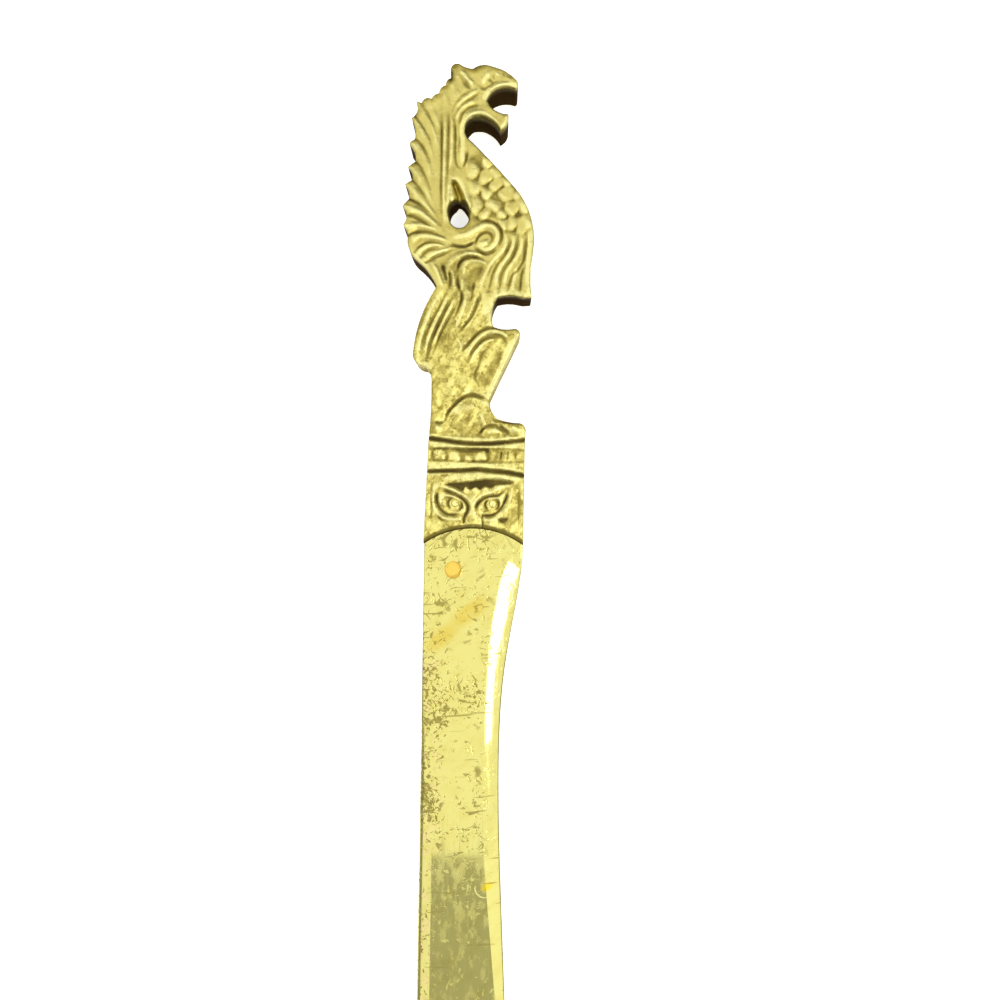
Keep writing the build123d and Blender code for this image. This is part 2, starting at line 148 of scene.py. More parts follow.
# Broad forms and carved lines, in millimetres across and up from the joint:
# rise or depth, half widths at both ends, points
BROAD_FORMS = [
    (0.24, 2.6, 2.2, [(-1, 77.6), (1.5, 77.9), (4.2, 77.4)]),
    (0.14, 1.2, 0.8, [(-0.8, 72.8), (1.4, 72.2), (4, 71.4)]),
    (0.14, 1.3, 1, [(-5.2, 77), (-4.6, 75.5), (-4.4, 73.8)]),
    (0.12, 0.9, 0.8, [(-6.6, 75.6), (-6, 74.2), (-5.6, 72.6)]),
    (0.18, 1.2, 1, [(1.4, 42.6), (1.2, 40), (1, 37.8)]),
    (0.28, 3.2, 2.6, [(-4.6, 28), (-2.8, 31.4), (-0.6, 33.6)]),
    (0.26, 3, 2.4, [(-5, 24.9), (-3.4, 26.6), (-1, 27.5)]),
    (0.18, 1, 0.8, [(6.3, 35), (5.3, 32.4), (4, 29.4), (2.7, 26.4)]),
    (0.26, 1.9, 1.6, [(-3.6, 21.6), (-1.9, 22.7), (0.6, 22.9)]),
]
RIDGES = [
    # Head
    (0.32, 0.75, 0.55, [(-3.6, 78.7), (-2.7, 77.8), (-2, 77.1), (-1.3, 76.4)]),
    (0.18, 0.9, 0.7, [(-4.6, 79.2), (-4.2, 78.2), (-3.6, 77.2)]),
    (0.3, 0.6, 0.5, [(1.3, 78.4), (0.7, 77.5), (0.2, 76.6)]),
    (0.18, 0.45, 0.45, [(2.4, 78.3), (3, 77.9)]),
    (0.14, 0.6, 0.5, [(3.6, 77.6), (4.6, 77.4), (5.6, 77)]),
    (0.22, 0.5, 0.45, [(1.1, 74.3), (1.4, 75.2), (2.2, 76), (3.6, 76.5), (5.7, 76.8)]),
    (0.2, 0.6, 0.5, [(-0.5, 75.9), (-1.5, 75), (-2.6, 74.2), (-3.4, 73.4), (-4, 72.3)]),
    (0.18, 0.6, 0.5, [(-0.8, 73.9), (-2.1, 73.3), (-3.1, 72.6), (-3.8, 71.4), (-4, 70)]),
    (0.22, 0.75, 0.6, [
        (-2.8, 69), (-2.6, 70.2), (-1.7, 71.3), (-0.1, 71.7), (1.2, 71.2), (2.4, 70.3), (3.4, 69.2),
    ]),
    # Neck
    (0.14, 0.45, 0.4, [(-5.9, 72.4), (-5.8, 69.5), (-5.9, 65), (-5.9, 60), (-5.8, 56), (-5.6, 52.6)]),
    (0.14, 0.45, 0.4, [(-4.8, 72), (-4.7, 69), (-4.7, 65.2), (-5, 62)]),
    (0.22, 1.1, 0.75, [(-3.1, 68.6), (-2.9, 66.4), (-2.9, 64.6), (-3, 63.2)]),
    (0.18, 0.4, 0.35, [(-4.7, 61.4), (-5, 59.5), (-5.1, 57), (-5.1, 54)]),
    # Wing
    (0.12, 1.1, 0.7, [(-9.3, 73.4), (-8.3, 72.2), (-7.4, 70.6), (-6.9, 68.6)]),
    (0.13, 1.25, 0.75, [(-10.6, 72.9), (-9.4, 71.3), (-8.2, 69.6), (-7.4, 67.6), (-7, 65)]),
    (0.13, 1.45, 0.8, [(-11.2, 70.2), (-10.1, 69.2), (-9.1, 67.6), (-8.3, 65.8), (-7.7, 63.4)]),
    (0.13, 1.45, 0.8, [(-11.5, 66.4), (-10.3, 65.8), (-9.3, 64.5), (-8.6, 62.6), (-8, 60.2)]),
    (0.13, 1.45, 0.8, [(-11.6, 62.5), (-10.6, 61.6), (-9.6, 60.3), (-8.7, 58.4), (-7.8, 56.2)]),
    (0.16, 1.3, 0.7, [(-12, 59.4), (-10.9, 58.6), (-9.6, 57.2), (-8.2, 55.4), (-6.9, 53.6)]),
    (0.28, 1, 0.55, [(-12.2, 55.9), (-11, 55.6), (-9.7, 55.1), (-8.2, 54), (-6.4, 52.5)]),
    (0.28, 0.95, 0.5, [(-12.2, 52.4), (-11, 52.9), (-9.6, 53), (-8, 52.7), (-6.2, 52)]),
    (0.3, 1, 0.6, [(-11.4, 49.9), (-10.4, 50.9), (-8.9, 51.3), (-7, 51), (-5, 50.4)]),
    (0.27, 0.8, 0.55, [(-10.2, 48.3), (-9, 49.4), (-7.4, 49.8), (-5.6, 49.6)]),
    (0.25, 0.75, 0.5, [(-8.6, 47.4), (-7.6, 48.3), (-6.2, 48.8), (-4.8, 49.2)]),
    # Arm
    (0.36, 0.9, 0.75, [
        (-5, 50.8), (-3.4, 51.1), (-1.9, 51.5), (-0.6, 52.3), (0.5, 53), (1.5, 53.2), (2.6, 52.8),
        (3.2, 51.7), (3, 50.5), (2.2, 49.6), (1.1, 49.3), (0.3, 49.8),
    ]),
    (0.3, 0.8, 0.6, [(0.3, 49.8), (1, 50.2), (1.6, 50.6)]),
    # Legs
    (0.24, 0.6, 0.5, [
        (4.5, 51.6), (4.6, 50), (3.6, 48.6), (2.5, 47.2), (1.6, 45.8), (0.8, 44.2), (0.4, 42.3),
    ]),
    (0.24, 0.6, 0.5, [(5.9, 51.5), (5.8, 50), (5, 48.2), (3.9, 46.6), (3.2, 45), (2.9, 42.4)]),
    (0.24, 0.6, 0.5, [(7.2, 52), (7.2, 50), (6.6, 48.3), (5.5, 46.6), (4.7, 45), (4.3, 42.3)]),
    (0.26, 0.75, 0.75, [(8.4, 52), (8.4, 49), (8.3, 46), (8.4, 42.3)]),
    (0.24, 0.7, 0.6, [(6.6, 46.6), (6.1, 44.8), (5.8, 42.3)]),
    # Waist
    (0.3, 0.8, 0.6, [(-5.3, 45), (-4.8, 46.6), (-3.6, 47.8), (-1.8, 48.5), (0.2, 48.3)]),
    (0.26, 0.6, 0.45, [(-2.5, 45), (-2.2, 46.6), (-1.2, 47.3), (0.4, 47.2), (1.4, 46.8)]),
    (0.24, 0.6, 0.5, [(-7.3, 46.6), (-6.4, 44.6), (-5.9, 43)]),
    (0.24, 0.55, 0.45, [(-4.3, 45.8), (-4, 44), (-3.9, 42.4)]),
    (0.26, 0.6, 0.5, [(-1.7, 42.3), (-2.2, 39.6), (-3, 37.5), (-3.5, 35.8)]),
    (0.22, 0.55, 0.5, [(-2.6, 44.6), (-2.6, 43.2), (-3.2, 41.2)]),
    # Tail
    (0.28, 0.75, 0.7, [(-6, 42.3), (-7.6, 39.4), (-8.9, 36), (-9.7, 32.4), (-9.8, 30.8)]),
    (0.28, 0.65, 0.6, [(-4.7, 42), (-6, 39), (-7.3, 36.2), (-8.2, 33.5), (-8.7, 31)]),
    (0.22, 0.45, 0.4, [(-3.6, 41), (-5, 38.3), (-6.2, 35.8), (-7, 34)]),
    # Haunch
    (0.28, 0.65, 0.6, [
        (-1.3, 32.3), (-0.2, 33.9), (1, 35.1), (2.4, 35.6), (4, 35.4), (5, 34.7), (5.3, 33.4),
    ]),
    (0.22, 0.55, 0.5, [(-1, 30.4), (0, 32.2), (1, 33.4), (2.2, 34.1), (3.4, 34.1)]),
    (0.16, 0.4, 0.35, [(-2.9, 34), (-2.6, 33), (-2.8, 32.2)]),
    (0.24, 0.8, 0.7, [(0.4, 22.3), (1.3, 20.9), (1.6, 19.4)]),
    (0.26, 0.75, 0.7, [(1.9, 18.5), (2.9, 19.1), (4.2, 18.8)]),
    (0.24, 1, 0.9, [(5.9, 19.7), (7.5, 19.3)]),
    (0.2, 0.8, 0.7, [(-6.6, 19.6), (-5.6, 19.2)]),
    # Mask
    (0.16, 0.7, 0.6, [(-6.2, 10.6), (-4, 11.1), (0, 11.6), (4, 11.6), (7.2, 11.1)]),
    (0.2, 0.42, 0.36, [(-6.7, 9.2), (-6.9, 7.4), (-6.4, 5.6), (-5.2, 4.5), (-3.6, 4.2), (-2.5, 4.2)]),
    (0.2, 0.42, 0.36, [(-5.2, 9.8), (-3.8, 9.2), (-2.2, 8.5), (-0.8, 7.6), (-0.3, 6.4), (-0.6, 5)]),
    (0.2, 0.42, 0.36, [(-0.1, 5), (-0.1, 6.6), (0.7, 7.9), (1.8, 8.6), (3, 8.9), (4, 9.5)]),
    (0.2, 0.42, 0.36, [(0.8, 4.3), (2.8, 4.2), (4.5, 4.9), (5.6, 6.4), (6.2, 8.2), (6.3, 9.6)]),
    (0.14, 0.8, 0.6, [(0.2, 9), (-0.2, 7.4), (0, 5.6), (0.2, 3.8)]),
    (0.14, 0.4, 0.34, [(-5.2, 8.3), (-4, 8.1), (-2.8, 7.8), (-1.9, 7), (-1.6, 6.2)]),
    (0.14, 0.4, 0.34, [(1.3, 7), (2.2, 7.6), (3.4, 7.9), (4.3, 8.1), (5, 8.9)]),
]
GROOVES = [
    # Head
    (0.22, 0.45, 0.34, [(-2.9, 77), (-2.4, 76.5), (-1.7, 75.9)]),
    (0.2, 0.4, 0.34, [(1.3, 77.4), (1.8, 76.9), (2.3, 76.6)]),
    (0.14, 0.32, 0.3, [(2, 78.3), (2.1, 77.5)]),
    (0.12, 0.34, 0.3, [(3.6, 78.5), (3.8, 77.9)]),
    (0.16, 0.4, 0.34, [(-0.4, 76.4), (0.4, 75.9), (1.2, 76.2), (2.2, 76.8), (3.4, 77)]),
    (0.1, 0.3, 0.25, [(4.4, 77.9), (5.1, 77.5)]),
    (0.15, 0.4, 0.34, [(-0.2, 75.2), (-1.3, 74.5), (-2.6, 73.7), (-3.6, 72.6), (-4.2, 71.2)]),
    (0.15, 0.4, 0.34, [(0.2, 73.2), (-1.6, 72.9), (-2.7, 72.1), (-3.3, 70.9), (-3.5, 69.4)]),
    (0.12, 0.4, 0.34, [(-1.5, 75.7), (-2.9, 74.9), (-4, 73.7), (-4.7, 72.2)]),
    (0.14, 0.6, 0.5, [(-5, 78.8), (-4.9, 77.8), (-5.2, 76.6)]),
    # Neck
    (0.18, 0.36, 0.3, [(-6.5, 71.5), (-6.4, 67.5), (-6.4, 63), (-6.4, 58.5), (-6.2, 55)]),
    (0.14, 0.32, 0.28, [(-5.3, 71.4), (-5.3, 68), (-5.3, 64), (-5.4, 60)]),
    (0.16, 0.36, 0.3, [(-4.2, 70.6), (-4.1, 67.5), (-4.1, 64.8), (-3.8, 63.2), (-3, 62.4)]),
    (0.1, 0.32, 0.3, [(-3.6, 69.6), (-3.5, 67.2), (-3.6, 65.2)]),
    (0.22, 0.4, 0.3, [(-2.1, 65.4), (-2.3, 63.9), (-2.8, 62.7)]),
    # Arm
    (0.3, 0.35, 0.25, [
        (-0.5, 49.7), (-0.3, 50.8), (0.4, 51.7), (1.3, 52.1), (2.1, 51.7), (2.2, 50.8), (1.7, 50.3),
    ]),
    (0.36, 0.35, 0.42, [(-4.9, 50), (-3.4, 49.7), (-2.2, 49.7), (-1.1, 50.2), (-0.4, 50.6)]),
    (0.32, 0.4, 0.35, [(-0.6, 49.6), (0.2, 48.9), (1.2, 48.5), (2.3, 48.8), (3.2, 49.6)]),
    (0.28, 0.35, 0.3, [(0.6, 53.9), (1.8, 54), (3, 53.4), (3.8, 52.2), (3.8, 50.8), (3.2, 49.6)]),
    # Legs
    (0.24, 0.35, 0.3, [(5.2, 51.6), (5.2, 50.2), (4.4, 48.4), (3.2, 46.8), (2.4, 45), (1.9, 42.2)]),
    (0.24, 0.35, 0.3, [(6.6, 51.8), (6.4, 50), (5.7, 48), (4.5, 46.3), (3.9, 44.8), (3.6, 42.2)]),
    (0.24, 0.35, 0.32, [(7.9, 51.8), (7.8, 49.5), (7.5, 47.5), (6.7, 46), (5.6, 44.8), (5, 42.3)]),
    (0.21, 0.31, 0.3, [(7.6, 46.6), (7.2, 44.8), (7.1, 42.2)]),
    (0.13, 0.28, 0.25, [(3.4, 47.9), (2.4, 46.4), (1.6, 44.8)]),
    # Waist
    (0.3, 0.45, 0.4, [(-6, 46.6), (-5.5, 45.2), (-5.1, 43.8)]),
    (0.26, 0.4, 0.32, [(-3.4, 45.6), (-3, 47), (-1.6, 47.9), (0.8, 47.8)]),
    (0.22, 0.38, 0.3, [(-4.9, 45.6), (-4.6, 44), (-4.7, 42.6)]),
    (0.24, 0.38, 0.3, [(-3.3, 44.8), (-3.3, 43.4), (-2.6, 41.5), (-3.2, 39.2), (-4, 37.3)]),
    (0.34, 0.5, 0.35, [(0.5, 42), (-0.2, 39.8), (-1, 38), (-2, 36.6), (-2.9, 35.4)]),
    (0.16, 0.4, 0.35, [(-0.6, 43.6), (-0.8, 42), (-1.2, 40.2)]),
    # Tail
    (0.22, 0.29, 0.24, [(-5.2, 41.8), (-6.3, 39.5), (-7.6, 37), (-8.6, 34.5), (-9.2, 32.6)]),
    (0.27, 0.31, 0.42, [(-4.2, 41), (-5.5, 38.7), (-6.6, 36.2), (-7.6, 33.6), (-8.2, 30.6)]),
    (0.2, 0.34, 0.34, [(-3.2, 40.5), (-4.5, 38), (-5.8, 35.5), (-6.7, 33.4), (-7.2, 32)]),
    # Haunch
    (0.34, 0.42, 0.36, [
        (-2.5, 31.7), (-1.9, 32.8), (-1, 34), (0.2, 35.3), (1.2, 35.9), (2.5, 36.2), (4, 36.1),
    ]),
    (0.26, 0.34, 0.3, [
        (-1.4, 30.6), (-0.7, 32.1), (0.3, 33.4), (1.3, 34.3), (2.8, 34.8), (4.1, 34.7), (4.7, 34),
    ]),
    (0.26, 0.38, 0.32, [(2, 33), (0.9, 31.8), (0.5, 30.2), (-0.2, 28.3), (0.5, 26.5)]),
    (0.08, 0.45, 0.4, [(4, 32.6), (3.7, 31.2), (3.3, 29.6)]),
    (0.4, 0.34, 0.55, [
        (-5, 20.7), (-4.6, 22), (-3.6, 23.2), (-2.4, 24.3), (-1.2, 24.9), (0.2, 24.9), (2.3, 24),
    ]),
    (0.22, 0.4, 0.35, [(-6.8, 20.5), (-6, 20.3), (-5.2, 20.4)]),
    (0.14, 0.4, 0.35, [(-0.5, 22.6), (-1, 21.6), (-1.4, 20.6)]),
    (0.28, 0.36, 0.3, [(0.6, 18.4), (1.3, 19.3), (2.2, 19.9), (3.4, 19.9), (4.4, 19.3), (5.1, 18.4)]),
    (0.34, 0.44, 0.38, [(4, 20.1), (4.4, 19.7), (5.1, 19.1), (5.8, 18.5)]),
    (0.16, 0.34, 0.3, [(5.6, 18.7), (6.4, 18.5), (7.4, 18.3)]),
    (0.24, 0.42, 0.3, [(2.6, 21.8), (3, 21.1), (3.7, 20.7), (5.5, 20.5), (7.4, 20.3)]),
]
# Creases between the feathers, which run out towards the shaft
WING_CREASES = [
    (0.13, 0.33, 0.26, [(-9.9, 73.2), (-8.9, 71.8), (-7.9, 70), (-7.2, 68), (-6.8, 66)]),
    (0.16, 0.37, 0.26, [(-11.2, 71.3), (-9.9, 69.9), (-8.8, 68.2), (-8, 66.2), (-7.4, 63.8)]),
    (0.16, 0.37, 0.26, [(-11.2, 67.4), (-10, 66.7), (-9, 65.2), (-8.2, 63.4), (-7.6, 61)]),
    (0.16, 0.37, 0.26, [(-11.2, 63.6), (-10, 62.9), (-9.1, 61.4), (-8.3, 59.5), (-7.6, 57.2)]),
    (0.17, 0.37, 0.26, [(-11.5, 60.6), (-10.3, 59.6), (-9.2, 58.2), (-8, 56.3), (-6.8, 54.4)]),
    (0.23, 0.39, 0.3, [(-12, 57.3), (-10.8, 57), (-9.5, 56.2), (-8, 54.8), (-6.3, 53)]),
    (0.26, 0.41, 0.3, [(-12.5, 54.2), (-11.5, 54.6), (-10.1, 54.2), (-8.6, 53.2), (-6.9, 52.2), (-6, 51.8)]),
    (0.24, 0.39, 0.3, [(-12, 50.9), (-10.9, 51.7), (-9.3, 52), (-7.5, 51.8), (-5.9, 51.3), (-5, 50.8)]),
    (0.24, 0.39, 0.3, [(-10.5, 48.5), (-9.7, 49.5), (-8.5, 50.2), (-7, 50.3), (-5.5, 50.1), (-4.6, 49.6)]),
    (0.22, 0.35, 0.3, [(-9.5, 47.7), (-8.6, 48.7), (-7.2, 49.3), (-5.6, 49.3)]),
    (0.23, 0.41, 0.35, [(-8.6, 46.9), (-7.4, 47.6), (-5.8, 48.3), (-4.4, 49), (-3, 49.4)]),
]
# Lines of the mask, marks on the band and the band's own grooves
MASK_GROOVES = [
    (0.3, 0.58, 0.46, [
        (-5.8, 9.2), (-6.2, 8.2), (-6.1, 7), (-5.6, 6), (-4.7, 5.2), (-3.6, 5), (-2.3, 5), (-1.7, 5.3),
    ]),
    (0.28, 0.46, 0.56, [
        (-5.8, 9.3), (-4.6, 8.9), (-3.2, 8.4), (-1.9, 7.6), (-1.1, 6.6), (-1.1, 5.6), (-1.5, 4.6),
        (-1.7, 3.6),
    ]),
    (0.28, 0.56, 0.4, [
        (0.6, 5.3), (0.5, 6.4), (1, 7.2), (2, 7.9), (3.2, 8.2), (4, 8.3), (4.8, 9), (5.3, 9.6),
    ]),
    (0.3, 0.58, 0.42, [(0.6, 5.3), (1.4, 5), (2.8, 5), (4, 5.6), (4.9, 6.9), (5.5, 8.3), (5.6, 9.4)]),
    (0.16, 0.24, 0.22, [(3.3, 8.8), (4.2, 9.1), (5, 9.7)]),
    (0.26, 0.34, 0.3, [(1.45, 5.3), (1.5, 3.8), (1.55, 2.3)]),
    (0.26, 0.5, 0.4, [(-1.2, 5.6), (-1.6, 4.5), (-1.6, 3.3)]),
    (0.2, 0.34, 0.26, [(-6, 4.7), (-5.5, 4.2), (-5, 3.9)]),
    (0.18, 0.34, 0.3, [(-7.1, 10.4), (-7.1, 7), (-7.1, 3.5)]),
    (0.14, 0.3, 0.26, [(7.5, 10.2), (7.5, 7), (7.5, 3.2)]),
    (0.12, 0.26, 0.22, [(7, 8.4), (7.4, 9)]),
    (0.22, 0.32, 0.28, [(4.5, 15.8), (4.3, 14.2)]),
    (0.2, 0.3, 0.26, [(5.6, 15.8), (5.5, 14.2)]),
    (0.18, 0.3, 0.26, [(6.8, 15.7), (6.8, 14.2)]),
    (0.26, 0.36, 0.3, [(-3.7, 7.8), (-4.25, 7.2), (-4.25, 6.5), (-3.8, 5.9)]),
    (0.26, 0.36, 0.3, [(-2.3, 7.4), (-2, 6.8), (-2.1, 6.2), (-2.6, 5.8)]),
    (0.26, 0.36, 0.3, [(2.4, 7.6), (1.95, 7.1), (1.95, 6.4), (2.4, 5.8)]),
    (0.26, 0.36, 0.3, [(3.8, 7.5), (4.15, 7), (4.1, 6.4), (3.6, 5.9)]),
]
BAND_GROOVES = [
    (0.42, 0.6, 0.56, [
        (-8.4, 17.75), (-5, 17.4), (-3, 17.1), (0, 16.9), (3, 17), (5.5, 17.3), (8.8, 17.75),
    ]),
    (0.16, 0.26, 0.26, [(-8.6, 15.95), (0, 16.1), (8.8, 15.9)]),
    (0.14, 0.26, 0.26, [(-8.6, 14.05), (0, 13.9), (8.8, 14)]),
    (0.42, 0.44, 0.6, [
        (-8.8, 12.1), (-5, 12.3), (-2, 12.4), (0.5, 12.6), (3, 12.4), (5.5, 12.2), (8.8, 11.6),
    ]),
]
# The slope into the upper end of the piercing
PIERCING_SLOPE = [
    (1.4, 0.4, 1.35, [(-4.4, 60.9), (-3.9, 59.6), (-3.3, 58), (-3, 56.4)]),
]
# Sunk fields: depth, patina, softness of the border, corners
SUNK_FIELDS = [
    (0.22, 0, 0.14, [
        (-5.4, 7.4), (-4.6, 7.9), (-3.4, 7.8), (-2.3, 7.2), (-1.7, 6.3), (-2, 5.6), (-3.6, 5.4), (-4.7, 5.7),
        (-5.4, 6.5),
    ]),
    (0.22, 0, 0.14, [
        (0.9, 6.5), (1.6, 7.4), (2.8, 7.8), (3.8, 7.7), (4.3, 7.1), (4.1, 6.2), (3.3, 5.5), (2.2, 5.4),
        (1.2, 5.7),
    ]),
    (0.3, 0.85, 0.12, [
        (-5.2, 10.1), (-3, 10.35), (-1, 10.55), (2, 10.95), (4, 10.95), (6.6, 10.6), (6, 10.25), (4, 10.1),
        (2.7, 9.5), (1.8, 9.75), (1, 9.2), (0.3, 9.7), (-0.6, 9.15), (-1.4, 9.7), (-1.9, 8.95), (-3.4, 9.6),
    ]),
    (0.15, 0.6, 0.1, [(4, 4.4), (5.8, 4.7), (5.5, 3.9), (4.9, 3.6), (4.3, 3.9)]),
    (0.06, 0.75, 0.16, [(-3.2, 15.6), (-3.2, 16), (2.2, 16.1), (2.3, 15.3), (0.2, 15.3), (-2.4, 15.2)]),
    (0.22, 0.45, 0.12, [
        (-7, 14.1), (-7, 15.9), (-2, 16.05), (2.2, 16.05), (2.5, 15), (2.2, 13.95), (-2, 13.95),
    ]),
    (0.1, 0.12, 0.3, [(2, 14), (2, 16), (8, 15.9), (8, 14.1)]),
    (0.24, 0.35, 0.22, [
        (-1.9, 43), (-1.6, 45.2), (-0.7, 46.3), (0.9, 46.4), (0.6, 45.2), (-0.2, 43.6), (-1, 42.4),
    ]),
    (0.09, 0.03, 0.3, [
        (0.8, 31), (2.3, 33), (3.6, 33.2), (4.2, 32.2), (3.2, 29), (2.3, 26.8), (0.8, 26.6), (0.3, 28.4),
    ]),
]
# Fields that are only darkened: darkening, softness of the border, corners
DARKENED_FIELDS = [
    # Painted shade under the tail
    (0.16, 0.5, [(-6.2, 37.6), (-3.2, 35.6), (-2.4, 33.4), (-4.6, 31.6), (-7.4, 32.4)]),
    (0.3, 0.4, [(-2.8, 20.4), (0, 20.4), (1.2, 19.8), (0.6, 18.4), (-3, 18.3)]),
    (0.14, 0.5, [(-4.4, 21.6), (-2.6, 23.4), (0.8, 23.4), (1.4, 21), (0.6, 18.9), (-4, 18.9)]),
    (0.5, 0.3, [(-0.9, 18.3), (0, 19.6), (1, 20.3), (1.5, 19.5), (0.6, 18.3)]),
    (0.22, 0.4, [(5.8, 10.2), (7.6, 10.4), (7.6, 6.8), (6.6, 7.2)]),
    (0.25, 0.4, [(-7.8, 11.8), (-4.6, 11.8), (-5.8, 10.4), (-7.8, 9.4)]),
    (0.18, 0.4, [(5.2, 5.6), (7.4, 6.2), (7.6, 3), (5, 3)]),
    (0.2, 0.5, [(-3, 12), (3.6, 12.1), (4.6, 11.5), (0.6, 11.2), (-3.6, 11.2)]),
    (0.3, 0.4, [(-5.2, 80.4), (-3.8, 80.4), (-4, 78.8), (-4.2, 77.4), (-5.6, 76.6)]),
    (0.16, 0.5, [(-3.2, 80), (0.4, 80), (0.8, 78.6), (-1.8, 78.4)]),
    (0.2, 0.5, [(1.5, 80.4), (4.6, 80), (7, 78), (6.8, 77.2), (4.6, 78.4), (2, 79.2)]),
    (0.2, 0.7, [(-6.8, 72), (-4.4, 72), (-2.6, 67), (-3, 62.4), (-4.8, 60), (-5, 53), (-6.6, 53)]),
    (0.28, 0.7, [(-6.6, 46.6), (-4, 49.6), (0, 48.4), (1.6, 46.4), (0.6, 42.4), (-2.6, 39.4), (-5.4, 42.4)]),
]
# The plinth's beads: rise, softness of the border, corners
BEADS = [
    (0.2, 0.12, [(-6.7, 14.3), (-6.7, 15.7), (-5.2, 15.7), (-5.1, 14.3)]),
    (0.2, 0.14, [(-4.3, 14.1), (-4, 15.4), (-2.9, 15.4), (-2.6, 14.1)]),
    (0.2, 0.14, [(-1.7, 14.4), (-1.5, 14.9), (-0.9, 14.9), (-0.6, 14.4), (-1, 14), (-1.4, 14)]),
    (0.2, 0.14, [(0.2, 14.2), (0.4, 15.1), (1.6, 15.5), (1.9, 14.3)]),
]
# Where the casting's edge is rounded more, under the jaw and around the piercing: share, softness, corners
ROUNDED_EDGES = [
    (1, 0.4, [
        (-1.4, 72), (0.2, 72.2), (2, 71.4), (4, 69.6), (3.6, 68.2), (1.4, 69.6), (-0.4, 70.6), (-1.6, 70.8),
    ]),
    (0.9, 0.3, [
        (-4.4, 60.4), (-3.4, 59.2), (-2.2, 57.6), (-1, 55.8), (-0.9, 54.2), (-2.2, 53.8), (-4.4, 53.8),
        (-5.3, 54.8), (-5.3, 56.8), (-4.9, 58.8),
    ]),
]
# Bright places on the plinth and the tail, worn and with painted highlights: wear and highlight, softness of
# the border, corners
WORN_AND_HIGHLIT_FIELDS = [
    (0.9, 0.22, [(-8.2, 13.7), (-2, 13.6), (4.4, 13.5), (3, 13), (-3, 12.9), (-8.2, 12.8)]),
    (0.8, 0.18, [(-3, 16.5), (2, 16.3), (7.4, 16.7), (7.4, 16.3), (-2, 16.1)]),
    (0.9, 0.25, [(-6.9, 10.2), (-5.6, 10.7), (-5.4, 10), (-6.6, 8.6), (-7, 6.4), (-7.4, 8.4)]),
    (0.8, 0.25, [(-1.4, 8.6), (0.2, 8.6), (0.4, 7.2), (-0.2, 5.6), (-0.6, 7.4)]),
    (0.9, 0.2, [(4.3, 7.6), (5.2, 8.8), (5, 7.4), (4.6, 6.8)]),
    (0.8, 0.25, [(-5.6, 4.6), (-3.4, 4.3), (-2.6, 4), (-4, 3.8)]),
    (0.8, 0.3, [(1, 4.5), (2.8, 4.4), (4, 4.8), (4, 3.4), (2.4, 3.4)]),
    (1, 0.12, [(-5.4, 7.4), (-4.8, 7.7), (-4.6, 7), (-4.7, 6.3), (-5.2, 6.5)]),
    (1, 0.12, [(-1.9, 6.3), (-1.6, 6), (-1.9, 5.5), (-2.4, 5.5)]),
    (1, 0.12, [(1.1, 6.6), (1.5, 7.1), (1.65, 6.6), (1.6, 5.9), (1.2, 5.9)]),
    (0.9, 0.25, [
        (-5.6, 42), (-7.2, 39.2), (-8.5, 35.9), (-9.3, 32.2), (-10.1, 32.2), (-9.3, 36.2), (-8, 39.7),
    ]),
    (0.9, 0.2, [(-4.4, 41.6), (-5.7, 38.8), (-7, 36), (-8, 33), (-8.6, 33.4), (-7.6, 36.4), (-6.3, 39.3)]),
]
# The chest, sunk between its scales: share, softness of the border, corners
CHEST = [
    (1, 0.3, [
        (-2.3, 63.4), (-1.2, 64.8), (0.6, 65), (3.4, 62), (7, 58.4), (8.3, 55), (8.4, 52.2), (6, 51.8),
        (4.4, 52.4), (3, 54.4), (0.8, 54.2), (-1, 54), (-1.4, 57), (-2, 60),
    ]),
]
# Scales of the chest: across, up, half width, half height, turn in degrees
SCALES = [
    (-1.3, 62.4, 1, 1.6, 20), (1.2, 63.6, 1.1, 0.8, -40), (1, 61.2, 1.1, 1.2, 0), (2.7, 61.8, 1, 1, -40),
    (-0.9, 59.4, 1.1, 1.3, 10), (1.1, 58.5, 0.9, 1, 0), (2.8, 60, 1.1, 1.1, 0), (4.6, 58.4, 1.3, 1.2, -20),
    (4.4, 60.3, 0.8, 0.7, -40), (6.4, 58.2, 0.9, 0.8, -40), (2.4, 56.5, 1.2, 1, 0),
    (5.5, 56.2, 1.3, 1.2, -20), (-0.4, 56.4, 0.8, 1.7, 0), (7.1, 56.5, 1, 1.3, 15), (1, 55, 0.9, 0.9, 0),
    (3.6, 55, 0.8, 0.8, 0), (4.1, 53.6, 0.8, 0.9, 0), (5.5, 53.5, 0.9, 1.2, 0), (7.3, 53.3, 1.1, 1.5, 0),
]


def placed(points):
    """Listed points on the beast, brought to the casting's own height."""
    points = np.array(points, float)
    above = points[:, 1] > PLINTH_HEIGHT
    points[above, 0] *= FIGURE_SCALE
    points[above, 1] = PLINTH_HEIGHT + (points[above, 1] - PLINTH_HEIGHT) * FIGURE_SCALE
    return points


def smooth_line(points, per_span=10):
    """A smooth line through given points."""
    knots = np.array([points[0], *points, points[-1]], float)
    t = np.linspace(0, 1, per_span, endpoint=False)[:, None]
    spans = []
    for a, b, c, d in zip(knots[:-3], knots[1:-2], knots[2:-1], knots[3:]):
        bend = (c - a) * t + (2 * a - 5 * b + 4 * c - d) * t**2 + (3 * b - a - 3 * c + d) * t**3
        spans.append(b + bend / 2)
    return np.vstack([*spans, knots[-1:]])


def step(value, low, high):
    """A soft step from 0 to 1 between two values."""
    t = np.clip((value - low) / (high - low), 0, 1)
    return t * t * (3 - 2 * t)


def part_of(value, full):
    """How far a value has come from 0 towards full, from 0 to 1."""
    return np.clip(value / full, 0, 1)


def bell(share):
    """A soft round cross-section, level at its middle and at its feet."""
    return 0.5 + 0.5 * np.cos(np.pi * share)


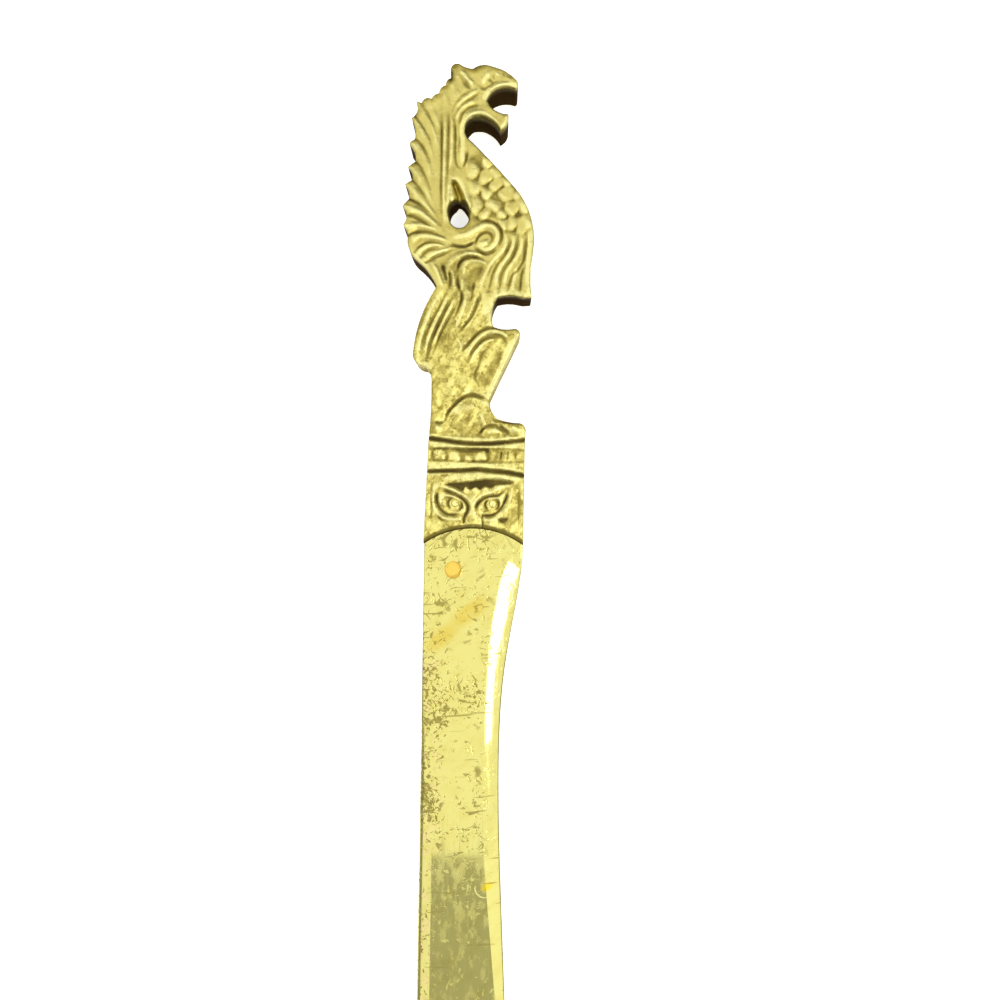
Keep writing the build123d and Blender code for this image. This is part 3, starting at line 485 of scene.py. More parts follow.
def bell_weights(sigma, spacing, reach):
    """Weights of a bell curve, so many steps to each side, that add up to 1."""
    weights = np.exp(-0.5 * (np.arange(-reach, reach + 1) * spacing / sigma) ** 2)
    return weights / weights.sum()


def blurred(values, sigma):
    """A height map blurred by a bell curve of that many millimetres."""
    reach = math.ceil(3 * sigma / MAP_STEP)
    weights = bell_weights(sigma, MAP_STEP, reach)
    padded = np.pad(values, reach, mode="edge")
    rows = np.apply_along_axis(np.convolve, 1, padded, weights, mode="valid")
    return np.apply_along_axis(np.convolve, 0, rows, weights, mode="valid")


class HeightMap:
    """Heights on a grid of millimetres across and up from the joint."""

    def __init__(self, low, high):
        self.low = low - MAP_MARGIN
        counts = np.ceil((high + MAP_MARGIN - self.low) / MAP_STEP).astype(int) + 1
        self.across = self.low[0] + np.arange(counts[0]) * MAP_STEP
        self.up = self.low[1] + np.arange(counts[1]) * MAP_STEP
        self.shape = (counts[1], counts[0])

    def window(self, points, reach):
        """The part of the grid within reach of some points, as slices, with its coordinates."""
        first = np.floor((points.min(axis=0) - reach - self.low) / MAP_STEP).astype(int)
        last = np.ceil((points.max(axis=0) + reach - self.low) / MAP_STEP).astype(int) + 1
        first = np.maximum(first, 0)
        part = (slice(first[1], max(last[1], 0)), slice(first[0], max(last[0], 0)))
        return part, np.meshgrid(self.across[part[1]], self.up[part[0]])

    def distance(self, line, reach):
        """A window around a line, the distance from it, and the share of its length at the nearest point."""
        part, (x, y) = self.window(line, reach)
        nearest = np.full(x.shape, np.inf)
        share = np.zeros(x.shape)
        lengths = np.hypot(*np.diff(line, axis=0).T)
        walked = np.concatenate([[0], np.cumsum(lengths)])
        for start, end, length, before in zip(line[:-1], line[1:], lengths, walked):
            if length == 0:
                continue
            along = (end - start) / length
            t = np.clip((x - start[0]) * along[0] + (y - start[1]) * along[1], 0, length)
            gap = np.hypot(x - start[0] - t * along[0], y - start[1] - t * along[1])
            closer = gap < nearest
            nearest[closer] = gap[closer]
            share[closer] = (before + t[closer]) / walked[-1]
        return part, nearest, share

    def sample(self, values, points):
        """Values of a map at points, between the grid's own points."""
        place = (points - self.low) / MAP_STEP
        cell = np.clip(place.astype(int), 0, np.array(self.shape)[::-1] - 2)
        fx, fy = (place - cell).T
        i, j = cell.T
        lower = values[j, i] * (1 - fx) + values[j, i + 1] * fx
        upper = values[j + 1, i] * (1 - fx) + values[j + 1, i + 1] * fx
        return lower * (1 - fy) + upper * fy


def strokes(grid, lines, ends=STROKE_ENDS, fades=STROKE_FADES):
    """Many soft strokes joined on a grid; each one's ends come down to a share of its rise."""
    total = np.zeros(grid.shape)
    for rise, start_width, end_width, points in lines:
        line = smooth_line(placed(points))
        part, gap, share = grid.distance(line, max(start_width, end_width))
        width = start_width + (end_width - start_width) * share
        fade = ends[0] + (1 - ends[0]) * step(share, 0, fades[0])
        fade *= ends[1] + (1 - ends[1]) * step(1 - share, 0, fades[1])
        total[part] += (rise * fade * bell(part_of(gap, width))) ** 3
    return np.cbrt(total)


def fields(grid, areas):
    """Level fields with soft borders."""
    total = np.zeros(grid.shape)
    x, y = np.meshgrid(grid.across, grid.up)
    points = np.column_stack([x.ravel(), y.ravel()])
    for rise, softness, corners in areas:
        border = smooth_line(closed(placed(corners)), per_span=4)
        inside = contains(border, points).reshape(grid.shape)
        total = np.maximum(total, rise * blurred(inside.astype(float), softness))
    return total


def scales(grid):
    """The chest's scales, each a flat-topped leaf whose lower end stands higher."""
    total = np.zeros(grid.shape)
    for across, up, half_width, half_height, turn in SCALES:
        centre = placed([(across, up)])
        across, up = centre[0]
        half_width *= SCALE_SPREAD
        half_height *= SCALE_SPREAD
        part, (x, y) = grid.window(centre, max(half_width, half_height))
        right = x + SCALE_WOBBLE * np.sin(SCALE_WAVES[0] * y + across) - across
        above = y + SCALE_WOBBLE * np.sin(SCALE_WAVES[1] * x - up) - up
        cos = math.cos(math.radians(turn))
        sin = math.sin(math.radians(turn))
        side = (right * cos + above * sin) / half_width
        rise = (above * cos - right * sin) / half_height
        side *= 1 - SCALE_TAPER * rise
        reach = np.abs(side) ** SCALE_SQUARENESS + np.abs(rise) ** SCALE_SQUARENESS
        share = np.clip(reach ** (1 / SCALE_SQUARENESS), 0, 1)
        dome = SCALE_RISE * (1 - share**3) * (1 - SCALE_TILT - SCALE_TILT * rise)
        total[part] = np.maximum(total[part], dome)
    return total


def outlines(node, height):
    """Closed outlines of a CAD node at a height, longest first, in millimetres from the joint."""
    solid = bmesh.new()
    solid.from_mesh(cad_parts[node].data)
    bmesh.ops.remove_doubles(solid, verts=solid.verts, dist=TINY)
    everything = solid.verts[:] + solid.edges[:] + solid.faces[:]
    cut = bmesh.ops.bisect_plane(solid, geom=everything, plane_co=(0, 0, height * MM), plane_no=(0, 0, 1))
    ways = {}
    for edge in cut["geom_cut"]:
        if isinstance(edge, bmesh.types.BMEdge):
            a, b = edge.verts
            ways.setdefault(a, []).append(b)
            ways.setdefault(b, []).append(a)
    loops = []
    while ways:
        here = min(ways, key=lambda vert: tuple(vert.co))
        previous = None
        loop = []
        while here in ways:
            loop.append(here.co.xy / MM)
            onward = [vert for vert in ways.pop(here) if vert is not previous and vert in ways]
            previous = here
            here = onward[0] if onward else None
        loops.append(np.array(loop) - JOINT)
    solid.free()
    return sorted(loops, key=lambda loop: -np.ptp(loop, axis=0).sum())


def closed(loop):
    """A loop with its first point again at its end."""
    return np.vstack([loop, loop[:1]])


def refined(loop, spacing):
    """A loop with its long edges divided to a spacing, and points that lie too close left out."""
    points = []
    for start, end in zip(loop, np.roll(loop, -1, axis=0)):
        parts = max(1, int(round(np.hypot(*(end - start)) / spacing)))
        points += [start + (end - start) * k / parts for k in range(parts)]
    too_close = spacing / 4
    kept = [points[0]]
    for point in points[1:]:
        if min(np.hypot(*(point - kept[-1])), np.hypot(*(point - kept[0]))) > too_close:
            kept.append(point)
    return np.array(kept)


def turned_left(loop):
    """A loop that runs anticlockwise."""
    x, y = loop.T
    area = np.sum(x * np.roll(y, -1) - y * np.roll(x, -1))
    return loop if area > 0 else loop[::-1]


def contains(loop, points):
    """Which points lie inside a loop."""
    hits = np.zeros(len(points), bool)
    for a, b in zip(loop, np.roll(loop, -1, axis=0)):
        if a[1] != b[1]:
            crosses = (a[1] > points[:, 1]) != (b[1] > points[:, 1])
            hits ^= crosses & (points[:, 0] < a[0] + (points[:, 1] - a[1]) * (b[0] - a[0]) / (b[1] - a[1]))
    return hits


def within(rings, points):
    """Which points lie inside the first ring and outside the others."""
    hits = contains(rings[0], points)
    for ring in rings[1:]:
        hits &= ~contains(ring, points)
    return hits


def rim_points(loop, offset):
    """A loop's points, moved square to it by an offset to its left."""
    along = np.roll(loop, -1, axis=0) - np.roll(loop, 1, axis=0)
    along /= np.maximum(np.hypot(*along.T), TINY)[:, None]
    return loop + offset * np.column_stack([-along[:, 1], along[:, 0]])


def linked(name, data):
    """A new object in the scene."""
    piece = bpy.data.objects.new(name, data)
    bpy.context.scene.collection.objects.link(piece)
    return piece


def mesh_piece(name, vertices, faces, material):
    """A smooth-shaded piece from vertices in millimetres."""
    mesh = bpy.data.meshes.new(name)
    mesh.from_pydata((np.asarray(vertices) * MM).tolist(), [], faces)
    mesh.polygons.foreach_set("use_smooth", np.ones(len(mesh.polygons), bool))
    mesh.materials.append(material)
    mesh.update()
    return linked(name, mesh)


def sheet_points(rings, grid, edge_gap):
    """Points for a mesh inside some rings: rows along each ring, and an even lattice between them."""
    points = []
    for offset in RIM_OFFSETS:
        for ring in rings:
            moved = rim_points(ring, offset)
            points.append(moved[grid.sample(edge_gap, moved) > RIM_CLEARANCE * offset])
    low = rings[0].min(axis=0)
    high = rings[0].max(axis=0)
    row = MESH_STEP * math.sqrt(3) / 2
    for k, up in enumerate(np.arange(low[1], high[1], row)):
        across = np.arange(low[0] + (k % 2) * MESH_STEP / 2, high[0], MESH_STEP)
        line = np.column_stack([across, np.full(len(across), up)])
        points.append(line[grid.sample(edge_gap, line) > LATTICE_MARGIN])
    points = np.vstack(points)
    return points[within(rings, points)]


def triangulated(rings, edges, inner):
    """The points and triangles, all facing up, of the sheet that some rings bound."""
    border = np.vstack(rings)
    found = delaunay_2d_cdt([Vector(p) for p in np.vstack([border, inner])], edges, [], 0, TINY)
    points = np.array([p[:] for p in found[0]])
    triangles = np.array([face for face in found[2] if len(face) == 3])
    on_border = np.flatnonzero((triangles < len(border)).all(axis=1))
    outside = ~within(rings, points[triangles[on_border]].mean(axis=1))
    triangles = np.delete(triangles, on_border[outside], axis=0)
    corner = points[triangles]
    turn = np.cross(corner[:, 1] - corner[:, 0], corner[:, 2] - corner[:, 0])
    triangles[turn < 0] = triangles[turn < 0][:, ::-1]
    return points, triangles


def solid_from_map(name, loops, grid, height, edge_gap, material, attributes):
    """A closed mesh with a height map on its front, its mirror image behind, and walls along its outlines.

    The first loop is the outside, the others are piercings. Heights are above the middle plane.
    """
    rings = [turned_left(refined(loops[0], MESH_STEP))]
    rings += [turned_left(refined(loop, MESH_STEP))[::-1] for loop in loops[1:]]
    border = np.vstack(rings)
    edges = []
    for ring in rings:
        first = len(edges)
        edges += [(first + k, first + (k + 1) % len(ring)) for k in range(len(ring))]
    points, triangles = triangulated(rings, edges, sheet_points(rings, grid, edge_gap))

    tops = grid.sample(height, points)
    count = len(points)
    vertices = [np.column_stack([points + JOINT, MIDDLE_Z + side * tops]) for side in (1, -1)]
    faces = [*triangles.tolist(), *(triangles[:, ::-1] + count).tolist()]
    starts = [0]
    for number, level in enumerate(WALL_LEVELS):
        starts.append(2 * count + number * len(border))
        vertices.append(np.column_stack([border + JOINT, MIDDLE_Z + level * tops[: len(border)]]))
    starts.append(count)
    for upper, lower in zip(starts[:-1], starts[1:]):
        faces += [(upper + a, lower + a, lower + b, upper + b) for a, b in edges]
    piece = mesh_piece(name, np.vstack(vertices), faces, material)
    for label, (values, wall_values) in attributes.items():
        data = piece.data.attributes.new(label, "FLOAT", "POINT").data
        sheet = grid.sample(values, points)
        walls = np.repeat(wall_values, len(border))
        data.foreach_set("value", np.concatenate([sheet, sheet, walls]).astype(np.float32))
    return piece


class Nodes:
    """A short way to write a node tree."""

    def __init__(self, tree):
        self.tree = tree
        tree.nodes.clear()

    def add(self, kind, inputs=(), **settings):
        """A new node of a kind, with its settings, and its inputs linked or set."""
        node = self.tree.nodes.new("ShaderNode" + kind)
        for name, value in settings.items():
            setattr(node, name, value)
        for name, value in dict(inputs).items():
            if isinstance(value, bpy.types.NodeSocket):
                self.tree.links.new(value, node.inputs[name])
            else:
                node.inputs[name].default_value = value
        return node

    def math(self, operation, value, *others):
        """A value joined with all the others by one operation."""
        for other in others:
            value = self.add("Math", {0: value, 1: other}, operation=operation).outputs[0]
        return value

    def sum(self, *values):
        return self.math("ADD", *values)

    def less(self, *values):
        return self.math("SUBTRACT", *values)

    def product(self, *values):
        return self.math("MULTIPLY", *values)

    def most(self, *values):
        return self.math("MAXIMUM", *values)

    def off(self, value, level):
        """How far a value lies from a level, on either side."""
        return self.add("Math", {0: self.less(value, level)}, operation="ABSOLUTE").outputs[0]

    def range(self, value, start, end, to_start=0.0, to_end=1.0):
        """A soft change from one number to another while a value goes from start to end."""
        inputs = {"Value": value, "From Min": start, "From Max": end, "To Min": to_start, "To Max": to_end}
        return self.add("MapRange", inputs, interpolation_type="SMOOTHSTEP").outputs[0]

    def between(self, low, high, share):
        """A number that goes from low to high with a share."""
        return self.range(share, 0, 1, low, high)

    def mix(self, share, a, b):
        return self.add("Mix", {0: share, 6: a, 7: b}, data_type="RGBA").outputs[2]

    def coated(self, base, *coats):
        """A colour with coats laid over it, each given as its share and its colour."""
        for share, coat in coats:
            base = self.mix(share, base, coat)
        return base

    def place(self):
        """Places on the object, in metres."""
        return self.add("TexCoord").outputs["Object"]

    def zone(self, axis, start, end):
        """0 at a start, 1 at an end, which lie so many millimetres across or up from the joint."""
        value = self.add("SeparateXYZ", {0: self.place()}).outputs[axis]
        origin = JOINT["XY".index(axis)]
        return self.range(value, (origin + start) * MM, (origin + end) * MM)

    def attribute(self, name):
        return self.add("Attribute", attribute_name=name).outputs["Fac"]

    def noise(self, place, scale, detail=4.0, roughness=0.55, distortion=0.0):
        inputs = {"Vector": place, "Scale": scale, "Detail": detail}
        inputs |= {"Roughness": roughness, "Distortion": distortion}
        return self.add("TexNoise", inputs).outputs["Fac"]

    def mapped(self, place, location, turn, scale):
        """Places seen from a location, turned by some degrees and stretched."""
        rotation = (0, 0, math.radians(turn))
        inputs = {"Vector": place, "Location": location, "Rotation": rotation, "Scale": scale}
        return self.add("Mapping", inputs, vector_type="TEXTURE").outputs[0]

    def stretched(self, place, turn, stretch):
        """Places for a pattern that is stretched along and across, and turned by some degrees."""
        return self.mapped(place, (0, 0, 0), turn, (*stretch, 1.0))

    def near(self, place, ellipse, inner, outer):
        """1 in an ellipse that lies so many millimetres from the joint and is turned, 0 outside it."""
        centre, half_sizes, turn = ellipse
        half_sizes = (half_sizes[0] * MM, half_sizes[1] * MM, 1.0)
        spread = self.mapped(place, (*(JOINT + centre) * MM, 0), turn, half_sizes)
        reach = self.add("VectorMath", {0: spread}, operation="LENGTH").outputs["Value"]
        return self.range(reach, outer, inner)

    def bump(self, height, strength, distance, **under):
        """A normal bent by a height, in millimetres, over another one."""
        inputs = {"Height": height, "Strength": strength, "Distance": distance * MM}
        return self.add("Bump", inputs | under).outputs[0]

    def metal(self, **inputs):
        """The surface of a metal, as the material's own."""
        inputs = {name.replace("_", " "): value for name, value in inputs.items()}
        shader = self.add("BsdfPrincipled", inputs)
        self.add("OutputMaterial", {"Surface": shader.outputs[0]})


def new_material(name):
    """A new material and its empty node tree."""
    material = bpy.data.materials.new(name)
    material.use_nodes = True
    return material, Nodes(material.node_tree)


def colour(red, green, blue):
    return (red, green, blue, 1.0)


WHITE = colour(1, 1, 1)
# Colour of the near-black walls: dark patina with painted shade
WALL_BROWN = colour(0.045, 0.031, 0.009)
WALL_SHEEN = colour(0.3, 0.2, 0.05)
DARK_PATINA_AND_SHADE = colour(0.075, 0.052, 0.012)
OLIVE_BRASS = colour(0.36, 0.29, 0.06)
MARK_OLIVE = colour(0.33, 0.27, 0.06)
HONEY_BRASS = colour(0.55, 0.46, 0.115)
CAST_BRASS = colour(0.62, 0.53, 0.15)
BRIGHT_CAST = colour(0.8, 0.71, 0.205)
PALE_BRASS = colour(0.88, 0.81, 0.32)
BLADE_BRASS = colour(0.75, 0.69, 0.22)
CLOUDED_BRASS = colour(0.7, 0.61, 0.16)
GOLDEN_TARNISH = colour(0.71, 0.56, 0.1)
ORANGE_STAIN = colour(0.83, 0.6, 0.11)
ORANGE_RIM = colour(0.62, 0.38, 0.06)
YELLOW_STAIN = colour(0.92, 0.68, 0.05)
PINK_TINT = colour(0.84, 0.64, 0.3)

# The casting's brighter lower part and its paler lower walls, up from the joint, and how much of their patina
# and painted shade the lower walls lose
BRIGHT_ZONE = (48, 36)
PALER_WALL_ZONE = (41.5, 38.5)
PALER_WALL_SHARE = 0.8
# The middle of a noise
NOISE_MIDDLE = 0.5
# Patterns of the casting: waves to a metre, detail, roughness, distortion
GRAIN = (2600.0, 4.0)
CAST_CLOUD = (300.0, 3.0)
CAST_LUMP = (800.0, 4.0, 0.62, 0.3)
CAST_STREAK = (1100.0, 3.0)
CAST_WRINKLE = (620.0, 1.5, 0.5, 0.9)
# How the streaks lie: turn in degrees, stretch along and across
CAST_STREAK_LIE = (62, (6.0, 1.0))
# Weight of each pattern in the dirt; a pair is for the upper and the lower part
CLOUD_DIRT = 0.8
LUMP_DIRT = (0.5, 1.6)
GRAIN_DIRT = (0.4, 0.9)
STREAK_DIRT = 1.4
STREAK_LEVEL = 0.39
WRINKLE_DIRT = 0.55
WRINKLE_LINE = (0.035, 0.008)
WRINKLED_LUMPS = (0.46, 0.56)
# Where each coat begins and where it is full, and its least and most share if they aren't 0 and 1
WALL_COAT = (1.05, 1.5)
CREST_COAT = (0.25, 1.0, 0.0, 0.8)
CLEAN_COAT = (0.0, -0.35, 0.0, 0.85)
HONEY_COAT = (-0.08, 0.42)
LOW_CREST_COAT = (0.5, 1.0)
LOW_CREST_SHARE = 0.7
PATINA_AND_SHADE_COAT = (0.5, 1.05)
# The olive coat's beginning and end, each on the upper and the lower part
OLIVE_START = (0.02, 0.22)
OLIVE_FULL = (0.65, 0.9)
# Metal and roughness, from clean to dirty, and bumps: strength, height in millimetres
CAST_METAL = (0.6, 1.1, 1.0, 0.2)
CAST_ROUGHNESS = (0.05, 0.9, 0.34, 0.6)
CAST_SPECULAR = 0.08
LUMP_BUMP = (0.5, 0.3)
GRAIN_BUMP = (0.25, 0.1)


def cast_brass():
    """Hand-polished cast brass: worn crests with painted highlights, olive slopes, dark patina in the
    recesses, painted shade on rims and walls, a pitted skin.
    """
    material, tree = new_material("cast_brass")
    place = tree.place()
    low = tree.zone("Y", *BRIGHT_ZONE)
    # Worn crests, with painted highlights on rims that face away from the upper left and in some fields
    wear_and_highlight = tree.attribute("wear_and_highlight")
    paler_walls = tree.product(tree.attribute("side"), tree.zone("Y", *PALER_WALL_ZONE), PALER_WALL_SHARE)
    # Patina in the recesses, with painted shade on rims that face the upper left and on the walls
    patina_and_shade = tree.less(tree.attribute("patina_and_shade"), paler_walls)
    grain = tree.noise(place, *GRAIN)
    cloud = tree.noise(place, *CAST_CLOUD)
    lump = tree.noise(place, *CAST_LUMP)
    streak = tree.noise(tree.stretched(place, *CAST_STREAK_LIE), *CAST_STREAK)
    wrinkle = tree.off(tree.noise(place, *CAST_WRINKLE), NOISE_MIDDLE)

    darkening = tree.sum(patina_and_shade, tree.product(tree.less(cloud, NOISE_MIDDLE), CLOUD_DIRT))
    relief = tree.product(tree.less(lump, NOISE_MIDDLE), tree.between(*LUMP_DIRT, low))
    speckle = tree.product(tree.less(grain, NOISE_MIDDLE), tree.between(*GRAIN_DIRT, low))
    brushed = tree.product(tree.less(streak, STREAK_LEVEL), low, STREAK_DIRT)
    creased = tree.product(tree.range(wrinkle, *WRINKLE_LINE), tree.range(lump, *WRINKLED_LUMPS))
    crinkle = tree.product(creased, low, WRINKLE_DIRT)
    dirt_and_shade = tree.sum(darkening, brushed, relief, speckle, crinkle)

    # The walls take their near-black colour: dark patina with painted shade
    wall = tree.range(patina_and_shade, *WALL_COAT)
    base = tree.coated(
        CAST_BRASS,
        (low, BRIGHT_CAST),
        # Worn crests and painted highlights
        (tree.range(wear_and_highlight, *CREST_COAT), PALE_BRASS),
        (tree.range(dirt_and_shade, *CLEAN_COAT), PALE_BRASS),
        (tree.product(tree.range(dirt_and_shade, *HONEY_COAT), low), HONEY_BRASS),
        (tree.range(dirt_and_shade, tree.between(*OLIVE_START, low), tree.between(*OLIVE_FULL, low)), OLIVE_BRASS),
        # More of the worn crests and painted highlights on the lower part
        (tree.product(tree.range(wear_and_highlight, *LOW_CREST_COAT), low, LOW_CREST_SHARE), PALE_BRASS),
        # Dark patina, with painted shade on rims and walls
        (tree.range(darkening, *PATINA_AND_SHADE_COAT), DARK_PATINA_AND_SHADE),
        (wall, WALL_BROWN),
    )
    tint = tree.mix(wall, WHITE, WALL_SHEEN)
    metallic = tree.most(tree.range(darkening, *CAST_METAL), wall)
    rough = tree.range(dirt_and_shade, *CAST_ROUGHNESS)
    skin = tree.bump(lump, *LUMP_BUMP, Normal=tree.bump(grain, *GRAIN_BUMP))
    tree.metal(Base_Color=base, Metallic=metallic, Roughness=rough, Normal=skin,
               Specular_IOR_Level=CAST_SPECULAR, Specular_Tint=tint)
    return material


# Zones of the blade, across or up from the joint
PITTED_SIDE = (-2.5, -8.4)
SPARED_SIDE = (2.0, 4.0)
WORN_LENGTH = (-14, -22)
LOWER_LENGTH = (-50, -56)
CROWDED_TOP = (-4, 1)
# Places and stains on the blade: centre, half sizes, turn in degrees
PITTED_PLACES = [
    ((-2.8, -49.0), (3.4, 1.4), 8),
    ((-5.9, -45.5), (1.6, 2.8), 0),
    ((0.6, -25.5), (1.6, 2.8), 0),
    ((-4.6, -30.0), (1.8, 5.0), 0),
]
GOLDEN_UPPER = ((-0.6, -11.6), (4.4, 1.7), 38)
GOLDEN_LOWER = ((-5.2, -15.9), (3.6, 1.6), 40)
# The heart lies to the upper left of the spot, so the darker rim left on the lower right is painted shade
ORANGE_SPOT = ((-3.35, -4.4), (1.5, 1.5), 0)
ORANGE_HEART = ((-3.5, -4.25), (1.5, 1.5), 0)
YELLOW_BLOT = ((3.3, -58.0), (1.25, 0.75), 30)
PALE_RING = ((2.9, -58.2), (1.75, 1.75), 0)
RING_PART = ((1.9, -59.2), (1.6, 1.6), 0)
# Their borders: where each is full and where it ends, as shares of its half sizes
PITTED_BORDER = (0.3, 1.4)
UPPER_BORDER = (0.3, 1.3)
LOWER_BORDER = (0.2, 1.4)
SPOT_BORDER = (0.95, 1.02)
HEART_BORDER = (0.6, 1.0)
BLOT_BORDER = (0.4, 1.2)
RING_OUTSIDE = (0.94, 1.06)
RING_INSIDE = (0.82, 0.94)
RING_PART_BORDER = (0.7, 1.1)
# Patterns of the blade: waves to a metre, detail, roughness, distortion
BLADE_PATCH = (130.0, 3.0)
BLADE_CLOUD = (520.0, 4.0, 0.6)
BLADE_PIT = (1450.0, 3.0, 0.6, 0.6)
BLADE_SCRATCH = (1000.0, 1.0)
BLADE_PINK = (500.0, 2.0)
BLADE_STREAK = (3000.0, 2.0)
BLADE_SPECK = (700.0, 2.0)
BLADE_SCUFF = (1300.0, 3.0)
BLADE_HAZE = (760.0, 3.0)
# How the drawn-out ones lie: turn in degrees, stretch along and across
CLOUD_LIE = (40, (2.2, 1.0))
SCRATCH_LIE = (4, (12.0, 0.7))
STREAK_LIE = (1, (1.0, 33.0))
SCUFF_LIE = (80, (3.0, 1.0))
HAZE_LIE = (0, (1.0, 2.2))
# Pits: where they begin and are full, what side, patches and places add, what the spared zones take away
PIT_LEVELS = (0.645, 0.72)
SIDE_PITTING = 0.15
PATCH_PITTING = 0.3
PLACE_PITTING = 0.09
RIGHT_SPARED = 0.1
LOWER_SPARED = 0.07
# Hooked scratches: turn in degrees, waves to a metre, level
HOOKS = ((35, 300.0, 0.5), (-50, 380.0, 0.47), (20, 470.0, 0.54), (65, 620.0, 0.5))
# Their stretch, their detail, roughness and distortion, their lines and their share
HOOK_STRETCH = (2.0, 1.0)
HOOK_FORM = (0.6, 0.5, 0.8)
HOOK_LINE = (0.03, 0.009)
HOOK_SHARE = 0.92
# What breaks them: waves for each of theirs and waves besides, detail, levels, and more of them at the top
BREAK_WAVES = (1.4, 90.0)
BREAK_DETAIL = 2.0
BREAK_LEVELS = (0.52, 0.6)
CROWDING = 0.08
# Where they are fewer: between clusters, on the worn length beside the pits, to the right and lower down
HOOK_CLUSTERS = (0.34, 0.46)
SPARSE_SIDE = (0, 0.6, 0.75, 0.0)
SPARSENESS = 0.18
RIGHT_HOOKS = (1.0, 0.35)
LOWER_HOOKS = (1.0, 0.15)
# Straight scratches across the blade: their lines, the patches that have them, their share
SCRATCH_LINE = (0.68, 0.73)
SCRATCHED_PATCHES = (0.4, 0.56)
SCRATCH_SHARE = 0.8
# Where each coat begins and where it is full, and its least and most share if they aren't 0 and 1
CLOUD_COAT = (0.42, 0.75, 0.0, 0.75)
GOLDEN_COAT = (0.25, 0.55, 0.5, 1.0)
PINK_COAT = (0.48, 0.62)
PINK_SHARE = 0.45
# Roughness of marks and streaks, and of the rubbed and the hazy lower length with its levels
MARK_ROUGHNESS = (0.05, 0.4)
STREAK_ROUGHNESS = (0.48, 0.78, 0.04, 0.2)
SPECK_LEVELS = (0.62, 0.7)
SCUFF_LEVELS = (0.58, 0.7)
RUBBED_ROUGHNESS = 0.32
HAZE_LEVELS = (0.4, 0.66)
HAZE_ROUGHNESS = 0.24
# Bumps: strength, height in millimetres
MARK_BUMP = (0.35, 0.06)
STREAK_BUMP = (0.08, 0.02)


